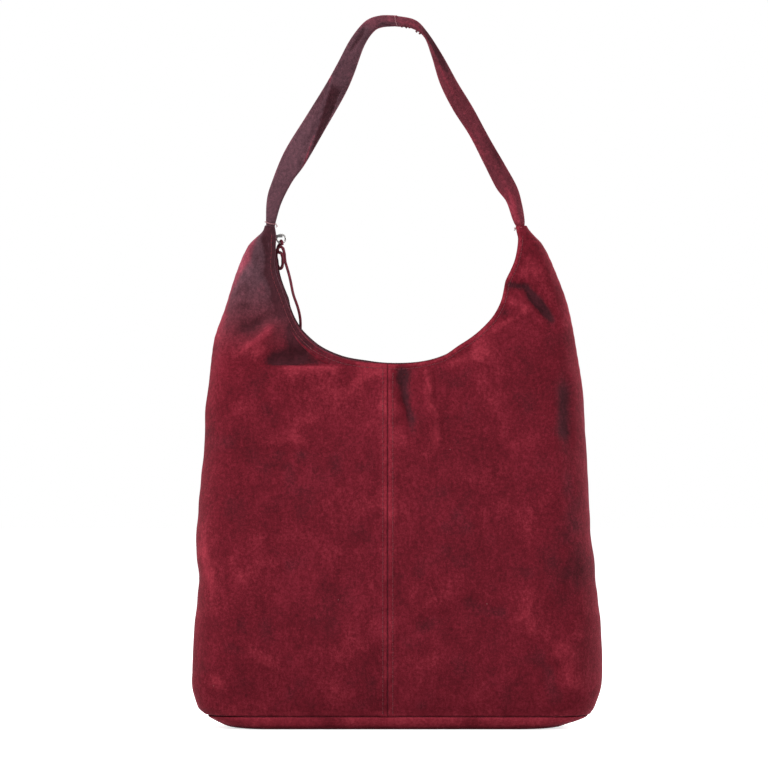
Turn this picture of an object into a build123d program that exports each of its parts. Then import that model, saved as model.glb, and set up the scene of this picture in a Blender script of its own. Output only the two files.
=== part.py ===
"""Soft suede hobo bag, standing on its base: panels, lining, mouth zip, two-part shoulder strap and inner pockets.

Frame: millimetres, +Z up, +X to the wearer's right seen from the front, front face towards -Y.
The origin is the middle of the base, on the surface that the bag stands on.
"""

import math
import os

from build123d import *

# Shell: half width and half depth of the bag at each height, as rounded oblongs.
SHELL_SECTIONS = [
    (12, 180, 56),
    (50, 190, 60),
    (150, 184, 58),
    (230, 181, 49),
    (300, 175.5, 36),
    (345, 169, 28),
    (400, 155.5, 19),
    (440, 141, 12.5),
    (456, 130, 9),
    (467, 122.5, 5),
]
BASE_SECTIONS = [(0, 160, 44), (5, 175, 53), (12, 180, 56)]
CORNER_SHARE = 0.9
CORNER_MAX = 38
BASE_HEIGHT = 12
SUEDE = 1.8
LINING_OUTSIDE = 2.2
LINING_INSIDE = 2.8
LINING_TOP = 440
LINING_FLOOR = 4.2
LINING_CLOTH = 0.6
CAP = 3
FRONT_SEAM_X = -8
BOARD_FLOOR = 2.1
BOARD_THICKNESS = 1.8
BOARD_HALF = (150, 38)

# Mouth: the zip lies on a cylinder about the Y direction, so that the slider runs on an arc.
MOUTH_RADIUS = 115
MOUTH_Z = 454
TAPE = 0.8
ZIP_TOP_Z = 461.5
COIL_OUT = 0.6
COIL_IN = 1.4
COIL_WIDTH = 2.4
GAP_HALF_LENGTH = 112
GAP_END = 1.6
GAP_MIDDLE = 18
STOP_HEIGHT = 1.4
STOP_INSET = 0.4

# Mouth slider, which stands at the left end, and its ring.
SLIDER_HALF_LENGTH = 6
SLIDER_HALF_WIDTH = 4.2
SLIDER_LOW_PLATE = (-2.3, -1.1)
SLIDER_HIGH_PLATE = (1.9, 2.9)
SLIDER_POST = (1.6, 3)
BRIDGE_LEG = (2.0, 3.0)
BRIDGE_HALF_LENGTH = 1.2
BAR_RADIUS = 0.6
BAR_HEIGHT = 7.8
BAR_Z = 456.5
RING_RADIUS = 4.0
RING_WIRE = 0.6
RING_DROP = 2.5

# Lace: a round suede thong from the knot below the ring.
LACE_DIAMETER = 2.6
KNOT_RADIUS = 2.9
KNOT_LENGTH = 15.5
LACE_ROUTE = [
    (-103.6, 0, 433.0),
    (-100.4, 0.5, 423.0),
    (-98.0, 0.0, 412.5),
    (-96.1, -0.4, 402.0),
    (-92.2, 0.0, 392.0),
    (-89.8, 0.4, 383.0),
    (-89.0, 0.0, 373.5),
    (-89.6, -0.4, 364.0),
]
RUN_SHARE = 0.45

# Strap: two flat halves that swing about the line through both necks.
NECK_Z = 472
STRAP_THICKNESS = 4
STRAP_JOIN_X = -1
STRAP_SEAM_GAP = 0.2
LEFT_NECK = (-122.3, -113)
RIGHT_NECK = (109.5, 119.5)
STRAP_TOP = 662
STRAP_UNDERSIDE = 648.5
LEFT_OUTER = [(-118.5, 499), (-107, 529.5), (-89.5, 559.5), (-54.5, 619), (-34, 650)]
LEFT_INNER = [(-104, 499), (-82.5, 529.5), (-65.5, 559.5), (-36, 619), (-23, 644)]
RIGHT_OUTER = [(112, 499.5), (96.5, 529.5), (80.5, 559.5), (50, 611.5), (26.5, 649)]
RIGHT_INNER = [(93.5, 499.5), (78.5, 529.5), (61, 559.5), (36.5, 611.5), (19.5, 645)]

# Inner pockets: trays sewn to the lining, open at the top, one closed by a zip.
POCKET_PLY = 0.8
ZIP_POCKET_X = (-80, 80)
ZIP_POCKET_Z = (110, 258)
ZIP_POCKET_Y = 30
POCKET_ZIP_Z = 271
POCKET_TAPE_TOP = 284
POCKET_TAPE = 0.6
POCKET_COIL = (29.3, 31.3)
POCKET_COIL_WIDTH = 1.8
POCKET_GAP_HALF_LENGTH = 72
POCKET_GAP_END = 1.2
POCKET_GAP_MIDDLE = 4
POCKET_COIL_END = 75
POCKET_STOP_LENGTH = 2
POCKET_SLIDER_X = -64
POCKET_SLIDER_HALF = (4.5, 4)
POCKET_SLIDER_FRONT = (27.8, 28.8)
POCKET_SLIDER_BACK = (31.8, 32.8)
POCKET_POST = (1.0, 0.8)
POCKET_POST_INSET = 1
POCKET_PIN_Y = 25.9
POCKET_PIN_RADIUS = 0.6
POCKET_LUG_HEIGHT = 1
PULL_EYE = (0.9, 1.5)
PULL_HALF_HEIGHT = 2
PULL_LENGTH = 14
PULL_THICKNESS = 1
PULL_GAP = 0.3
SLIP_POCKET_X = (-95, 10)
SLIP_POCKET_Z = (115, 225)
SLIP_POCKET_Y = -30

REACH = 400


def block(x, y, z):
    """A box between two values on each axis."""
    middle = Pos((x[0] + x[1]) / 2, (y[0] + y[1]) / 2, (z[0] + z[1]) / 2)
    return middle * Box(abs(x[1] - x[0]), abs(y[1] - y[0]), abs(z[1] - z[0]))


def front_half():
    return block((-REACH, REACH), (-REACH, 0), (-REACH, 2 * REACH))


def back_half():
    return block((-REACH, REACH), (0, REACH), (-REACH, 2 * REACH))


def section(half_width, half_depth, z):
    corner = min(CORNER_SHARE * half_depth, CORNER_MAX)
    return Pos(0, 0, z) * RectangleRounded(2 * half_width, 2 * half_depth, corner)


def shell_body(inset):
    """The space inside the upper bag, this far in from its outer face."""
    heights = [s[0] for s in SHELL_SECTIONS]
    if inset:
        heights[-1] -= CAP
    return loft([
        section(wide - inset, deep - inset, z)
        for z, (_, wide, deep) in zip(heights, SHELL_SECTIONS)
    ])


def base_body(inset, floor):
    """The space inside the turned-up base, this far in and this far up."""
    body = loft([section(w - inset, d - inset, z) for z, w, d in BASE_SECTIONS], ruled=True)
    return body & block((-REACH, REACH), (-REACH, REACH), (floor, BASE_HEIGHT))


def mouth_cylinder(radius, half_depth=REACH):
    return Pos(0, 0, MOUTH_Z) * Rot(90, 0, 0) * Cylinder(radius, 2 * half_depth)


def mouth_cut(radius):
    """The scoop of the mouth, open to the sky."""
    return mouth_cylinder(radius) + block((-radius, radius), (-REACH, REACH), (MOUTH_Z, 2 * REACH))


def zip_band(inner, outer):
    """A thin ring about the scoop's centre, up to the ends of the zip."""
    ring = mouth_cylinder(outer) - mouth_cylinder(inner)
    return ring & block((-REACH, REACH), (-REACH, REACH), (0, ZIP_TOP_Z))


def lens(half_length, end_gap, middle_gap, reach):
    """A long gap that is widest at its middle and parallel past its ends."""
    near = ThreePointArc((-half_length, -end_gap), (0, -middle_gap), (half_length, -end_gap))
    far = ThreePointArc((half_length, end_gap), (0, middle_gap), (-half_length, end_gap))
    outline = [
        Line((-reach, -end_gap), (-half_length, -end_gap)),
        near,
        Line((half_length, -end_gap), (reach, -end_gap)),
        Line((reach, -end_gap), (reach, end_gap)),
        Line((reach, end_gap), (half_length, end_gap)),
        far,
        Line((-half_length, end_gap), (-reach, end_gap)),
        Line((-reach, end_gap), (-reach, -end_gap)),
    ]
    return make_face(outline)


def mouth_gap(widen):
    """The gap between the two rows of the mouth zip, as a tall prism, this much wider each side."""
    face = lens(GAP_HALF_LENGTH, GAP_END + widen, GAP_MIDDLE + widen, REACH)
    return Pos(0, 0, MOUTH_Z / 2) * extrude(face, amount=MOUTH_Z)


def panels():
    """The four suede panels, split at the middle seam and at the sides."""
    skin = shell_body(0) - shell_body(SUEDE) - mouth_cut(MOUTH_RADIUS - TAPE)
    left = block((-REACH, FRONT_SEAM_X), (-REACH, REACH), (0, 2 * REACH))
    right = block((FRONT_SEAM_X, REACH), (-REACH, REACH), (0, 2 * REACH))
    return {
        "front_panel_left": skin & front_half() & left,
        "front_panel_right": skin & front_half() & right,
        "back_panel_left": skin & back_half() & left,
        "back_panel_right": skin & back_half() & right,
    }


def base_pieces():
    wide, deep = BOARD_HALF
    board_top = BOARD_FLOOR + BOARD_THICKNESS
    inner_floor = LINING_FLOOR + LINING_CLOTH
    return {
        "base_panel": base_body(0, 0) - base_body(SUEDE, SUEDE),
        "base_board": block((-wide, wide), (-deep, deep), (BOARD_FLOOR, board_top)),
        "lining_base": base_body(LINING_OUTSIDE, LINING_FLOOR) - base_body(LINING_INSIDE, inner_floor),
    }


def lining():
    cloth = shell_body(LINING_OUTSIDE) - shell_body(LINING_INSIDE)
    cloth = cloth - mouth_cut(MOUTH_RADIUS + LINING_CLOTH)
    cloth = cloth & block((-REACH, REACH), (-REACH, REACH), (BASE_HEIGHT, LINING_TOP))
    return {"lining_front": cloth & front_half(), "lining_back": cloth & back_half()}


def mouth_zip():
    """Tapes, coils and stops of the mouth zip."""
    tape = zip_band(MOUTH_RADIUS - TAPE, MOUTH_RADIUS) & shell_body(SUEDE)
    tape = tape - mouth_gap(COIL_WIDTH)
    coil = zip_band(MOUTH_RADIUS - COIL_IN, MOUTH_RADIUS + COIL_OUT)
    coil = (coil & mouth_gap(COIL_WIDTH)) - mouth_gap(0)
    across = GAP_END + COIL_WIDTH - STOP_INSET
    stop_z = (ZIP_TOP_Z, ZIP_TOP_Z + STOP_HEIGHT)
    stop_x = (MOUTH_RADIUS - COIL_IN, MOUTH_RADIUS)
    top_stops = [
        block(stop_x, (GAP_END, across), stop_z),
        block(stop_x, (-across, -GAP_END), stop_z),
    ]
    return {
        "zip_tape_front": tape & front_half(),
        "zip_tape_back": tape & back_half(),
        "zip_coil_front": coil & front_half(),
        "zip_coil_back": coil & back_half(),
        "zip_bottom_stop": block((-stop_x[1], -stop_x[0]), (-across, across), stop_z),
        "zip_top_stops": Compound(top_stops),
    }


def from_rim(heights):
    """X of two heights above the zip's face, measured towards the scoop's centre, at its left end."""
    return (-MOUTH_RADIUS + heights[0], -MOUTH_RADIUS + heights[1])


def zip_slider():
    """Two plates joined by a post that runs in the gap, with an arched bar across the top plate."""
    along = (MOUTH_Z - SLIDER_HALF_LENGTH, MOUTH_Z + SLIDER_HALF_LENGTH)
    across = (-SLIDER_HALF_WIDTH, SLIDER_HALF_WIDTH)
    post_half = SLIDER_POST[0] / 2
    post_z = (MOUTH_Z, MOUTH_Z + SLIDER_POST[1])
    slider = block(from_rim(SLIDER_LOW_PLATE), across, along)
    slider += block(from_rim(SLIDER_HIGH_PLATE), across, along)
    slider += block(from_rim((SLIDER_LOW_PLATE[1], SLIDER_HIGH_PLATE[0])), (-post_half, post_half), post_z)
    leg_z = (BAR_Z - BRIDGE_HALF_LENGTH, BAR_Z + BRIDGE_HALF_LENGTH)
    leg_x = from_rim((SLIDER_HIGH_PLATE[1], BAR_HEIGHT + BRIDGE_HALF_LENGTH))
    for side in (-1, 1):
        slider += block(leg_x, (side * BRIDGE_LEG[0], side * BRIDGE_LEG[1]), leg_z)
    bar = Cylinder(BAR_RADIUS, 2 * BRIDGE_LEG[1])
    return slider + Pos(-MOUTH_RADIUS + BAR_HEIGHT, 0, BAR_Z) * Rot(90, 0, 0) * bar


def pull_ring():
    centre = Pos(-MOUTH_RADIUS + BAR_HEIGHT, 0, BAR_Z - RING_DROP)
    return centre * Rot(90, 0, 0) * Torus(RING_RADIUS, RING_WIRE)


def lace_knot():
    """The knot's envelope, in line with the first stretch of the thong."""
    bottom = Vector(*LACE_ROUTE[0])
    upwards = bottom - Vector(*LACE_ROUTE[1])
    return extrude(Plane(origin=bottom, z_dir=upwards) * Circle(KNOT_RADIUS), amount=KNOT_LENGTH)


def lace():
    """The thong: straight runs joined by tangent arcs, each as large as its runs allow."""
    points = [Vector(*p) for p in LACE_ROUTE]
    runs = [b - a for a, b in zip(points, points[1:])]
    radii = []
    for before, after in zip(runs, runs[1:]):
        half_turn = math.radians(before.get_angle(after) / 2)
        radii.append(RUN_SHARE * min(before.length, after.length) / math.tan(half_turn))
    print("lace radii", [round(r, 1) for r in radii])
    path = FilletPolyline(*LACE_ROUTE, radius=radii)
    disc = Plane(origin=path @ 0, z_dir=path % 0) * Circle(LACE_DIAMETER / 2)
    tube = sweep(disc, path=path)
    expected = math.pi * (LACE_DIAMETER / 2) ** 2 * path.length
    print("lace length", round(path.length, 1), "volume", round(tube.volume, 1), "of", round(expected, 1))
    return tube


def strap_half(neck, outer, inner, join_x):
    """One strip of the strap, from its rounded foot on the neck line to the join at the top."""
    foot_outer, foot_inner = neck
    if abs(foot_outer) < abs(foot_inner):
        foot_outer, foot_inner = foot_inner, foot_outer
    edges = [
        Spline([(foot_outer, NECK_Z), *outer, (join_x, STRAP_TOP)]),
        Line((join_x, STRAP_TOP), (join_x, STRAP_UNDERSIDE)),
        Spline([(join_x, STRAP_UNDERSIDE), *reversed(inner), (foot_inner, NECK_Z)]),
        Line((foot_inner, NECK_Z), (foot_outer, NECK_Z)),
    ]
    face = Plane.XZ * make_face(edges)
    strip = extrude(face, amount=STRAP_THICKNESS / 2, both=True)
    width = abs(foot_outer - foot_inner)
    foot = Pos((foot_outer + foot_inner) / 2, 0, NECK_Z) * Rot(0, 90, 0) * Cylinder(STRAP_THICKNESS / 2, width)
    return strip + foot


def strap():
    half_gap = STRAP_SEAM_GAP / 2
    return {
        "strap_left": strap_half(LEFT_NECK, LEFT_OUTER, LEFT_INNER, STRAP_JOIN_X - half_gap),
        "strap_right": strap_half(RIGHT_NECK, RIGHT_OUTER, RIGHT_INNER, STRAP_JOIN_X + half_gap),
    }


def tray(x, z, face_y, side_top):
    """A pocket's outer ply with its sides and bottom, reaching the lining behind it."""
    away = math.copysign(REACH, face_y)
    skin_y = face_y + math.copysign(POCKET_PLY, face_y)
    solid = block(x, (face_y, away), (z[0], side_top))
    inner_x = (x[0] + POCKET_PLY, x[1] - POCKET_PLY)
    solid -= block(inner_x, (skin_y, away), (z[0] + POCKET_PLY, side_top))
    solid -= block(inner_x, (face_y, skin_y), (z[1], REACH))
    return solid & shell_body(LINING_INSIDE)


def pocket_band(widen):
    """The gap between the rows of the pocket's zip, as a prism along Y, this much wider each side."""
    face = lens(POCKET_GAP_HALF_LENGTH, POCKET_GAP_END + widen, POCKET_GAP_MIDDLE + widen, REACH)
    return Pos(0, 0, POCKET_ZIP_Z) * Rot(90, 0, 0) * extrude(face, amount=REACH / 2, both=True)


def pocket_zip():
    inner_x = (ZIP_POCKET_X[0] + POCKET_PLY, ZIP_POCKET_X[1] - POCKET_PLY)
    tape_y = (ZIP_POCKET_Y, ZIP_POCKET_Y + POCKET_TAPE)
    tape = block(inner_x, tape_y, (ZIP_POCKET_Z[1], POCKET_TAPE_TOP)) - pocket_band(POCKET_COIL_WIDTH)
    shelf_z = (POCKET_TAPE_TOP - POCKET_TAPE, POCKET_TAPE_TOP)
    shelf = block(inner_x, (ZIP_POCKET_Y, REACH), shelf_z) & shell_body(LINING_INSIDE)
    coil = block((-POCKET_COIL_END, POCKET_COIL_END), POCKET_COIL, (0, REACH))
    coil = (coil & pocket_band(POCKET_COIL_WIDTH)) - pocket_band(0)
    above = block((-REACH, REACH), (-REACH, REACH), (POCKET_ZIP_Z, REACH))
    below = block((-REACH, REACH), (-REACH, REACH), (0, POCKET_ZIP_Z))
    stop_half = POCKET_GAP_END + POCKET_COIL_WIDTH
    stop_z = (POCKET_ZIP_Z - stop_half, POCKET_ZIP_Z + stop_half)
    stops = [
        block((side * POCKET_COIL_END, side * (POCKET_COIL_END + POCKET_STOP_LENGTH)), POCKET_COIL, stop_z)
        for side in (-1, 1)
    ]
    return {
        "pocket_tape_upper": (tape & above) + shelf,
        "pocket_tape_lower": tape & below,
        "pocket_coil_upper": coil & above,
        "pocket_coil_lower": coil & below,
        "pocket_stops": Compound(stops),
    }


def pocket_slider():
    half_x, half_z = POCKET_SLIDER_HALF
    along = (POCKET_SLIDER_X - half_x, POCKET_SLIDER_X + half_x)
    across = (POCKET_ZIP_Z - half_z, POCKET_ZIP_Z + half_z)
    post_start = POCKET_SLIDER_X - half_x + POCKET_POST_INSET
    post_x = (post_start, post_start + 2 * POCKET_POST[0])
    post_z = (POCKET_ZIP_Z - POCKET_POST[1], POCKET_ZIP_Z + POCKET_POST[1])
    slider = block(along, POCKET_SLIDER_FRONT, across)
    slider += block(along, POCKET_SLIDER_BACK, across)
    slider += block(post_x, (POCKET_SLIDER_FRONT[1], POCKET_SLIDER_BACK[0]), post_z)
    lug_low = PULL_HALF_HEIGHT + PULL_GAP
    lug_high = lug_low + POCKET_LUG_HEIGHT
    lug_x = (POCKET_SLIDER_X - 2 * POCKET_PIN_RADIUS, POCKET_SLIDER_X + 2 * POCKET_PIN_RADIUS)
    lug_y = (POCKET_PIN_Y - 2 * POCKET_PIN_RADIUS, POCKET_SLIDER_FRONT[0])
    for side in (-1, 1):
        slider += block(lug_x, lug_y, (POCKET_ZIP_Z + side * lug_low, POCKET_ZIP_Z + side * lug_high))
    return slider + Pos(POCKET_SLIDER_X, POCKET_PIN_Y, POCKET_ZIP_Z) * Cylinder(POCKET_PIN_RADIUS, 2 * lug_high)


def pocket_pull():
    """A flat tab with a round eye on the slider's pin, lying along the closed end of the zip."""
    hole, eye = PULL_EYE
    pin = Pos(POCKET_SLIDER_X, POCKET_PIN_Y, POCKET_ZIP_Z)
    tab_x = (POCKET_SLIDER_X + hole, POCKET_SLIDER_X + PULL_LENGTH)
    tab_y = (POCKET_PIN_Y - PULL_THICKNESS / 2, POCKET_PIN_Y + PULL_THICKNESS / 2)
    tab_z = (POCKET_ZIP_Z - PULL_HALF_HEIGHT, POCKET_ZIP_Z + PULL_HALF_HEIGHT)
    pull = pin * Cylinder(eye, 2 * PULL_HALF_HEIGHT) + block(tab_x, tab_y, tab_z)
    return pull - pin * Cylinder(hole, 4 * PULL_HALF_HEIGHT)


def pieces():
    side_top = POCKET_TAPE_TOP - POCKET_TAPE
    return {
        **panels(),
        **base_pieces(),
        **lining(),
        **mouth_zip(),
        "zip_slider": zip_slider(),
        "pull_ring": pull_ring(),
        "lace_knot": lace_knot(),
        "lace": lace(),
        **strap(),
        "zip_pocket": tray(ZIP_POCKET_X, ZIP_POCKET_Z, ZIP_POCKET_Y, side_top),
        **pocket_zip(),
        "pocket_slider": pocket_slider(),
        "pocket_pull": pocket_pull(),
        "slip_pocket": tray(SLIP_POCKET_X, SLIP_POCKET_Z, SLIP_POCKET_Y, SLIP_POCKET_Z[1]),
    }


os.makedirs("parts", exist_ok=True)
for name, shape in pieces().items():
    export_step(shape, f"parts/{name}.step")
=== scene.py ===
"""The looks of a soft suede hobo bag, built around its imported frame.

Shapes are worked out in millimetres and turned into metres as meshes are made. +Z is up, the front
faces -Y, and the origin is under the middle of the base. "hand" is -1 on the left and 1 on the right,
seen from the front, and "side" is -1 for the front and 1 for the back.
"""

import math

import bpy
import numpy as np
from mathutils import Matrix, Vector


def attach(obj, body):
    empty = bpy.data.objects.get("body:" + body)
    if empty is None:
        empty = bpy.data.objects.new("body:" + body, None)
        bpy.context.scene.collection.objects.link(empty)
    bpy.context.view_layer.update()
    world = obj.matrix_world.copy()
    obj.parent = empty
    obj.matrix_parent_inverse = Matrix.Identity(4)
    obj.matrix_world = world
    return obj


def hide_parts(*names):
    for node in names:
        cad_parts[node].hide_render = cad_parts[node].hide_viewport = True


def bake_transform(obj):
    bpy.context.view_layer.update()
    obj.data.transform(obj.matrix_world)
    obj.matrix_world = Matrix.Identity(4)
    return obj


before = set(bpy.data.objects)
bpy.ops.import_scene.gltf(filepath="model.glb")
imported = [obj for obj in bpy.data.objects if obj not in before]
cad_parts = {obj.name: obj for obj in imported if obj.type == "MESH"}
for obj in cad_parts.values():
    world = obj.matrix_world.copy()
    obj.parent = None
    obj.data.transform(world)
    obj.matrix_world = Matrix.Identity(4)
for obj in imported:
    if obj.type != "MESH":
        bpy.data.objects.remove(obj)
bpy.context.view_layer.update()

MM = 0.001
FRONT, BACK = -1, 1
LEFT, RIGHT = -1, 1
FACES = ((FRONT, "front"), (BACK, "back"))

# Shell: height and half width on each side, and height and half depth.
LEFT_SIDE = [
    (12, 176), (20, 184.5), (44, 189.4), (62, 189), (110, 184), (145, 182), (178, 184), (245, 178.4),
    (300, 175.6), (356, 170.3), (390, 159.2), (424, 148.3), (448, 137.5), (463, 123.5), (467, 122.5),
]
RIGHT_SIDE = [
    (12, 178.5), (20, 183), (44, 187.6), (62, 186.8), (110, 184.4), (145, 181.8), (178, 177.4),
    (245, 175.6), (300, 174.2), (356, 166.5), (390, 159.8), (424, 147.6), (448, 136.2), (463, 123),
    (467, 121),
]
DEPTH = [
    (12, 56), (50, 60), (150, 58), (230, 49), (300, 36), (345, 28), (400, 19), (440, 12.5), (456, 8.8),
    (467, 4.4),
]
CORNER_SHARE = 0.9
CORNER_MAX = 38
FOOT = 12  # height of the seam round the foot
SEAM_X = -8  # place of the middle seam
SEAM_ROW = 4.6  # from the middle seam to each row of stitching
SUEDE = 1.2
TUCK = 1.9  # how deep a sewn edge is turned in

# Mouth: radius of the front rim and of the zip about the scoop's centre, by degrees from straight down.
MOUTH_Z = 454
MOUTH_RADIUS = 115
TIP_Z = 467
TIP_FADE = 26  # folds and seams flatten out over this height below the tips
TIP_INNER = {LEFT: 112.3, RIGHT: 109.8}
FRONT_RIM = [
    (-90, 111), (-84, 111.8), (-79, 114), (-74, 115.2), (-66, 115.4), (-60, 116.8), (-52, 120.6),
    (-45, 123.4), (-37, 124.3), (-26, 122), (-13, 117.8), (-4.5, 116.3), (8, 116.3), (20, 117),
    (31, 114.4), (41, 114.6), (49, 114.6), (56, 113.2), (59, 112.2), (64, 109.6), (68.5, 107.8),
    (74, 109.2), (79, 110.7), (90, 112.4),
]
ZIP_LINE = [
    (-90, 114.6), (-86, 114.6), (-80, 112.4), (-74, 113.8), (-62, 115), (-57, 118), (-51, 120.8),
    (-45, 122.6), (-37, 123), (-26, 121), (-12, 117), (0, 116.3), (20, 117.6), (45, 116.4), (70, 114.6),
    (90, 114.6),
]
BACK_RIM_LOWER = 1.4
ROLL = 1.5  # radius of the rolled rim
HEM = 6.5
HEM_ROW = 5  # from the rim to the hem's row of stitching
HEM_ROW_TOP = 462
HEM_TURN = 9
ZIP_TOP_Z = 461.5
GAP_HALF_LENGTH = 112
GAP_END = 1.6
GAP_MIDDLE = 18
COIL_WIDTH = 2.4
COIL_PITCH = 1.5
COIL_WIRE = 0.36
COIL_RISE = 0.68
COIL_REACH = 0.85
TAPE_THICK = 0.5
TAPE_STEP = 1.6
TAPE_TOP = 464
TAPE_BELOW_RIM = 0.4
TAPE_UNDER_COIL = 0.5
TAPE_LEAST = 1.2
TAPE_DROPS = (2, 5, 8)  # rows that run down behind the hem

# Base: height, half width on the left and right, and half depth, from the seam down.
BASE_RINGS = [
    (12, 176, 178.5, 56), (8.5, 170.5, 171, 55.6), (4.5, 162.5, 159, 54.2), (1.2, 153, 149, 50.5),
    (0, 145, 141, 44),
]

# Strap: outlines of its two halves seen from the front, from just inside the horns up to the join.
LEFT_OUTER = [
    (-120.4, 463.2), (-121, 465), (-121.4, 472), (-120.7, 491), (-116.6, 506), (-104.3, 536),
    (-83.9, 569), (-66.1, 597.5), (-55.2, 617), (-42.9, 640), (-29.3, 656.4), (-15.7, 661.8),
    (0.5, 662),
]
LEFT_INNER = [
    (-113.5, 463.2), (-113, 465), (-111.8, 471), (-106.6, 488), (-96.8, 507), (-84.5, 524), (-65, 558),
    (-48, 588), (-39.5, 607), (-30, 633), (-21, 646.5), (-13, 650.6), (0.5, 651.6),
]
RIGHT_OUTER = [
    (118.6, 463.2), (119, 465), (119.2, 472), (116.8, 487), (112.4, 502.6), (100.6, 524), (87, 547.3),
    (71.5, 576), (57.5, 599), (43, 625), (28.5, 647), (17, 658), (-2, 662),
]
RIGHT_INNER = [
    (112.1, 463.2), (111.4, 465), (107.9, 472), (102, 488.6), (92.6, 501.4), (81.4, 523.5), (67.9, 550),
    (52.5, 574), (40.5, 598), (32.5, 624), (25.6, 641.4), (14, 649.6), (-1.5, 651.5),
]
STRAP_THICK = [(0, 4), (1, 4.6), (2, 6.4), (4, 5.6), (7, 5.2), (9, 5.8), (11, 8.2), (12, 8.6)]

# Lace: the free thong's route in metres, and the knot's in millimetres, which passes through the ring.
LACE_ROUTE = [
    (-0.1036, 0, 0.4330),
    (-0.1004, 0.0005, 0.4230),
    (-0.0980, 0, 0.4125),
    (-0.0961, -0.0004, 0.4020),
    (-0.0922, 0, 0.3920),
    (-0.0898, 0.0004, 0.3830),
    (-0.0890, 0, 0.3735),
    (-0.0896, -0.0004, 0.3640),
]
LACE_WIDTH = 0.0026
KNOT_ROUTE = [
    (-103.6, 0, 433), (-104.3, -1.0, 440), (-105.6, -1.5, 445), (-108.6, -1.2, 446.6), (-111.2, 0, 443),
    (-111.8, 0, 436), (-110.6, 0, 429.5), (-107.9, -0.6, 426.2), (-106, -1.6, 429.4),
    (-105.8, -2.3, 436), (-107.2, -2.5, 440.6), (-110, -1.2, 441.6), (-110.4, 1.2, 445.4),
    (-108.6, 1.5, 449.2), (-107.2, 0, 452.1), (-106.1, -1.5, 448.4),
]


# ---- small tools ----


def smooth(points, at):
    """A curve through the points that never swings past them, read at these values."""
    x = np.array([p[0] for p in points], float)
    y = np.array([p[1] for p in points], float)
    step = np.diff(x)
    slope = np.diff(y) / step
    turning = slope[:-1] * slope[1:] <= 0
    total = np.where(turning, 1, slope[:-1] + slope[1:])
    tangent = np.zeros(len(x))
    tangent[1:-1] = np.where(turning, 0, 2 * slope[:-1] * slope[1:] / total)
    tangent[0] = slope[0]
    tangent[-1] = slope[-1]
    at = np.clip(at, x[0], x[-1])
    i = np.clip(np.searchsorted(x, at) - 1, 0, len(x) - 2)
    t = (at - x[i]) / step[i]
    start = y[i] * (1 + 2 * t) + tangent[i] * step[i] * t
    end = y[i + 1] * (3 - 2 * t) - tangent[i + 1] * step[i] * (1 - t)
    return start * (1 - t) ** 2 + end * t**2


def ease(low, high, value):
    """0 below low, 1 above high, softly between. It runs backwards when low is the larger."""
    t = np.clip((value - low) / (high - low), 0, 1)
    return t * t * (3 - 2 * t)


def bell(away, width):
    """1 where away is 0, and softly less further off."""
    return np.exp(-((away / width) ** 2))


LUMP_GRID = 64
LUMP_SHIFT = 400


def lumps(x, z, size, seed):
    """Soft random bumps about this far apart, between -1 and 1."""
    values = np.random.default_rng(seed).uniform(-1, 1, (LUMP_GRID, LUMP_GRID))
    u = np.asarray(x, float) / size + LUMP_SHIFT
    v = np.asarray(z, float) / size + LUMP_SHIFT
    i = np.floor(u).astype(int)
    j = np.floor(v).astype(int)
    s = ease(0, 1, u - i)
    t = ease(0, 1, v - j)
    left, right = i % LUMP_GRID, (i + 1) % LUMP_GRID
    rows = (j % LUMP_GRID, (j + 1) % LUMP_GRID)
    low, high = [values[left, row] * (1 - s) + values[right, row] * s for row in rows]
    return low * (1 - t) + high * t


def layered(x, z, layers, seed=0):
    """Soft random bumps of several sizes, from layers of (height, size, own seed)."""
    return sum(height * lumps(x, z, size, seed + own) for height, size, own in layers)


def spacing(length, fine, coarse, growth):
    """Fractions from 0 to 1, closer together at both ends."""
    steps = []
    size = fine
    while size < coarse:
        steps.append(size)
        size *= growth
    middle = max(2, round((length - 2 * sum(steps)) / coarse))
    all_steps = np.array(steps + [coarse] * middle + steps[::-1])
    places = np.concatenate([[0], np.cumsum(all_steps)])
    return places / places[-1]


def grid_faces(rows, columns, closed=False, flip=False, start=0):
    faces = []
    for r in range(rows - 1):
        for c in range(columns if closed else columns - 1):
            a = start + r * columns + c
            b = start + r * columns + (c + 1) % columns
            quad = (a, b, b + columns, a + columns)
            faces.append(quad[::-1] if flip else quad)
    return faces


def add_object(name, data):
    obj = bpy.data.objects.new(name, data)
    bpy.context.scene.collection.objects.link(obj)
    return obj


def make_mesh(name, points, faces, material):
    """A smooth-shaded mesh object from points in millimetres."""
    mesh = bpy.data.meshes.new(name)
    mesh.from_pydata((np.asarray(points, float).reshape(-1, 3) * MM).tolist(), [], faces)
    mesh.polygons.foreach_set("use_smooth", [True] * len(mesh.polygons))
    mesh.update()
    mesh.materials.append(material)
    return add_object(name, mesh)


def keep_nap_and_painted_light(obj, values):
    """Stores painted light at each point: painted shade in folds below 0, painted highlights above 0.
    Some random tone of the nap is stored with it.
    """
    attribute = obj.data.attributes.new("nap_and_painted_light", "FLOAT", "POINT")
    attribute.data.foreach_set("value", np.asarray(values, np.float32).ravel())


def thicken(obj, thickness):
    """Gives a sheet this much cloth behind its outer face."""
    modifier = obj.modifiers.new("cloth", "SOLIDIFY")
    modifier.thickness = thickness * MM
    modifier.offset = -1
    modifier.use_even_offset = False


def piece(name, points, faces, material, slot, thickness=None):
    """A finished piece that rides on the bag and takes the place of the node of the same name."""
    obj = make_mesh(name, points, faces, material)
    if thickness:
        thicken(obj, thickness)
    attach(obj, "bag")
    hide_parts(name)
    return obj


def sheet(name, rows, flip, material, slot, thickness):
    """Such a piece of cloth, from rows of points."""
    points = np.stack(rows)
    faces = grid_faces(*points.shape[:2], flip=flip)
    return piece(name, points, faces, material, slot, thickness)


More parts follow.
